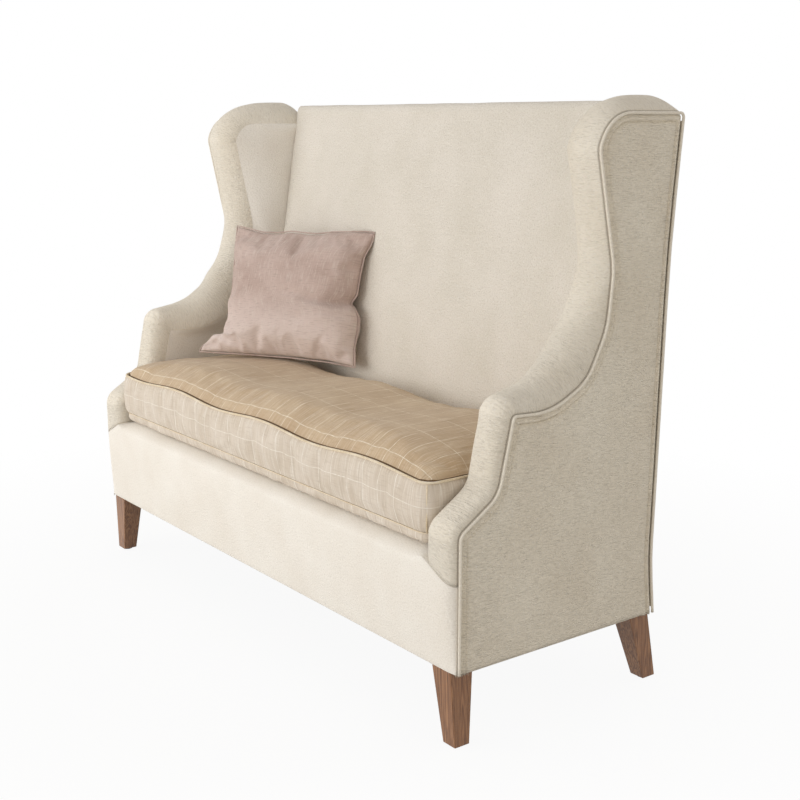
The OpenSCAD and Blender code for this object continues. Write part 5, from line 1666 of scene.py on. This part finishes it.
def floor():
    """Pale floor that catches the shade under the settee and fades to white round it."""
    mesh = bpy.data.meshes.new("floor")
    mesh.from_pydata([(-30, -30, 0), (30, -30, 0), (30, 30, 0), (-30, 30, 0)], [], [[0, 1, 2, 3]])
    made = bpy.data.objects.new("floor", mesh)
    bpy.context.scene.collection.objects.link(made)
    paint, tree, body, place = started("pale_studio_floor", "Object", Roughness=0.8, Specular_IOR_Level=0.1,
                                       Base_Color=colour("#DCDAD6"))
    far = add(tree, "ShaderNodeVectorMath", (place,), "Value", operation="LENGTH")
    fade = add(tree, RANGE, (far, 0.7, 1.8, 0.93, 1.0))
    share = add(tree, MATH, (seen_rays(tree), fade), operation="MULTIPLY")
    white = add(tree, "ShaderNodeEmission", {"Color": (1, 1, 1, 1), "Strength": 1.0})
    both = add(tree, "ShaderNodeMixShader", (share, body.outputs[0], white))
    ending = next(n for n in tree.nodes if n.bl_idname == "ShaderNodeOutputMaterial")
    tree.links.new(both, ending.inputs[0])
    mesh.materials.append(paint)


def surroundings():
    """White to the camera, and a softer white to the settee."""
    world = bpy.data.worlds.new("studio")
    bpy.context.scene.world = world
    world.use_nodes = True
    tree = world.node_tree
    tree.nodes.clear()
    soft = add(tree, "ShaderNodeBackground", {"Color": colour("#F8F5F2"), "Strength": 0.68})
    white = add(tree, "ShaderNodeBackground", {"Color": (1, 1, 1, 1), "Strength": 1.0})
    both = add(tree, "ShaderNodeMixShader", (seen_rays(tree), soft, white))
    add(tree, "ShaderNodeOutputWorld", {"Surface": both}, None)


def lamp(name, place, aim, size, power, tint):
    """A square soft lamp that faces its aim."""
    light = bpy.data.lights.new(name, "AREA")
    light.shape = "SQUARE"
    light.size = size
    light.energy = power
    light.color = colour(tint)[:3]
    made = bpy.data.objects.new(name, light)
    bpy.context.scene.collection.objects.link(made)
    made.location = place
    made.rotation_euler = (Vector(aim) - Vector(place)).to_track_quat("-Z", "Y").to_euler()


floor()
surroundings()
lamp("key", (-2.5, -3.7, 1.5), (0, 0, 0.6), 2.2, 48, "#FFFFFF")
lamp("fill", (-0.5, -3.9, 1.1), (-0.3, 0, 0.5), 2.0, 42, "#FFFFFF")
lamp("side", (4.0, -1.0, 1.2), (0, 0, 0.6), 2.4, 10, "#FFF9F0")

camera = bpy.data.cameras.new("camera")
camera.sensor_width = 36.0
camera.lens = 57.34
seer = bpy.data.objects.new("camera", camera)
bpy.context.scene.collection.objects.link(seer)
azimuth, down = math.radians(52.99), math.radians(12.36)
back = Vector((math.sin(azimuth) * math.cos(down), -math.cos(azimuth) * math.cos(down), math.sin(down)))
seer.location = (2.3074, -1.5898, 1.100)
seer.rotation_euler = back.to_track_quat("Z", "Y").to_euler()
bpy.context.scene.camera = seer
bpy.context.scene.view_settings.view_transform = "Standard"
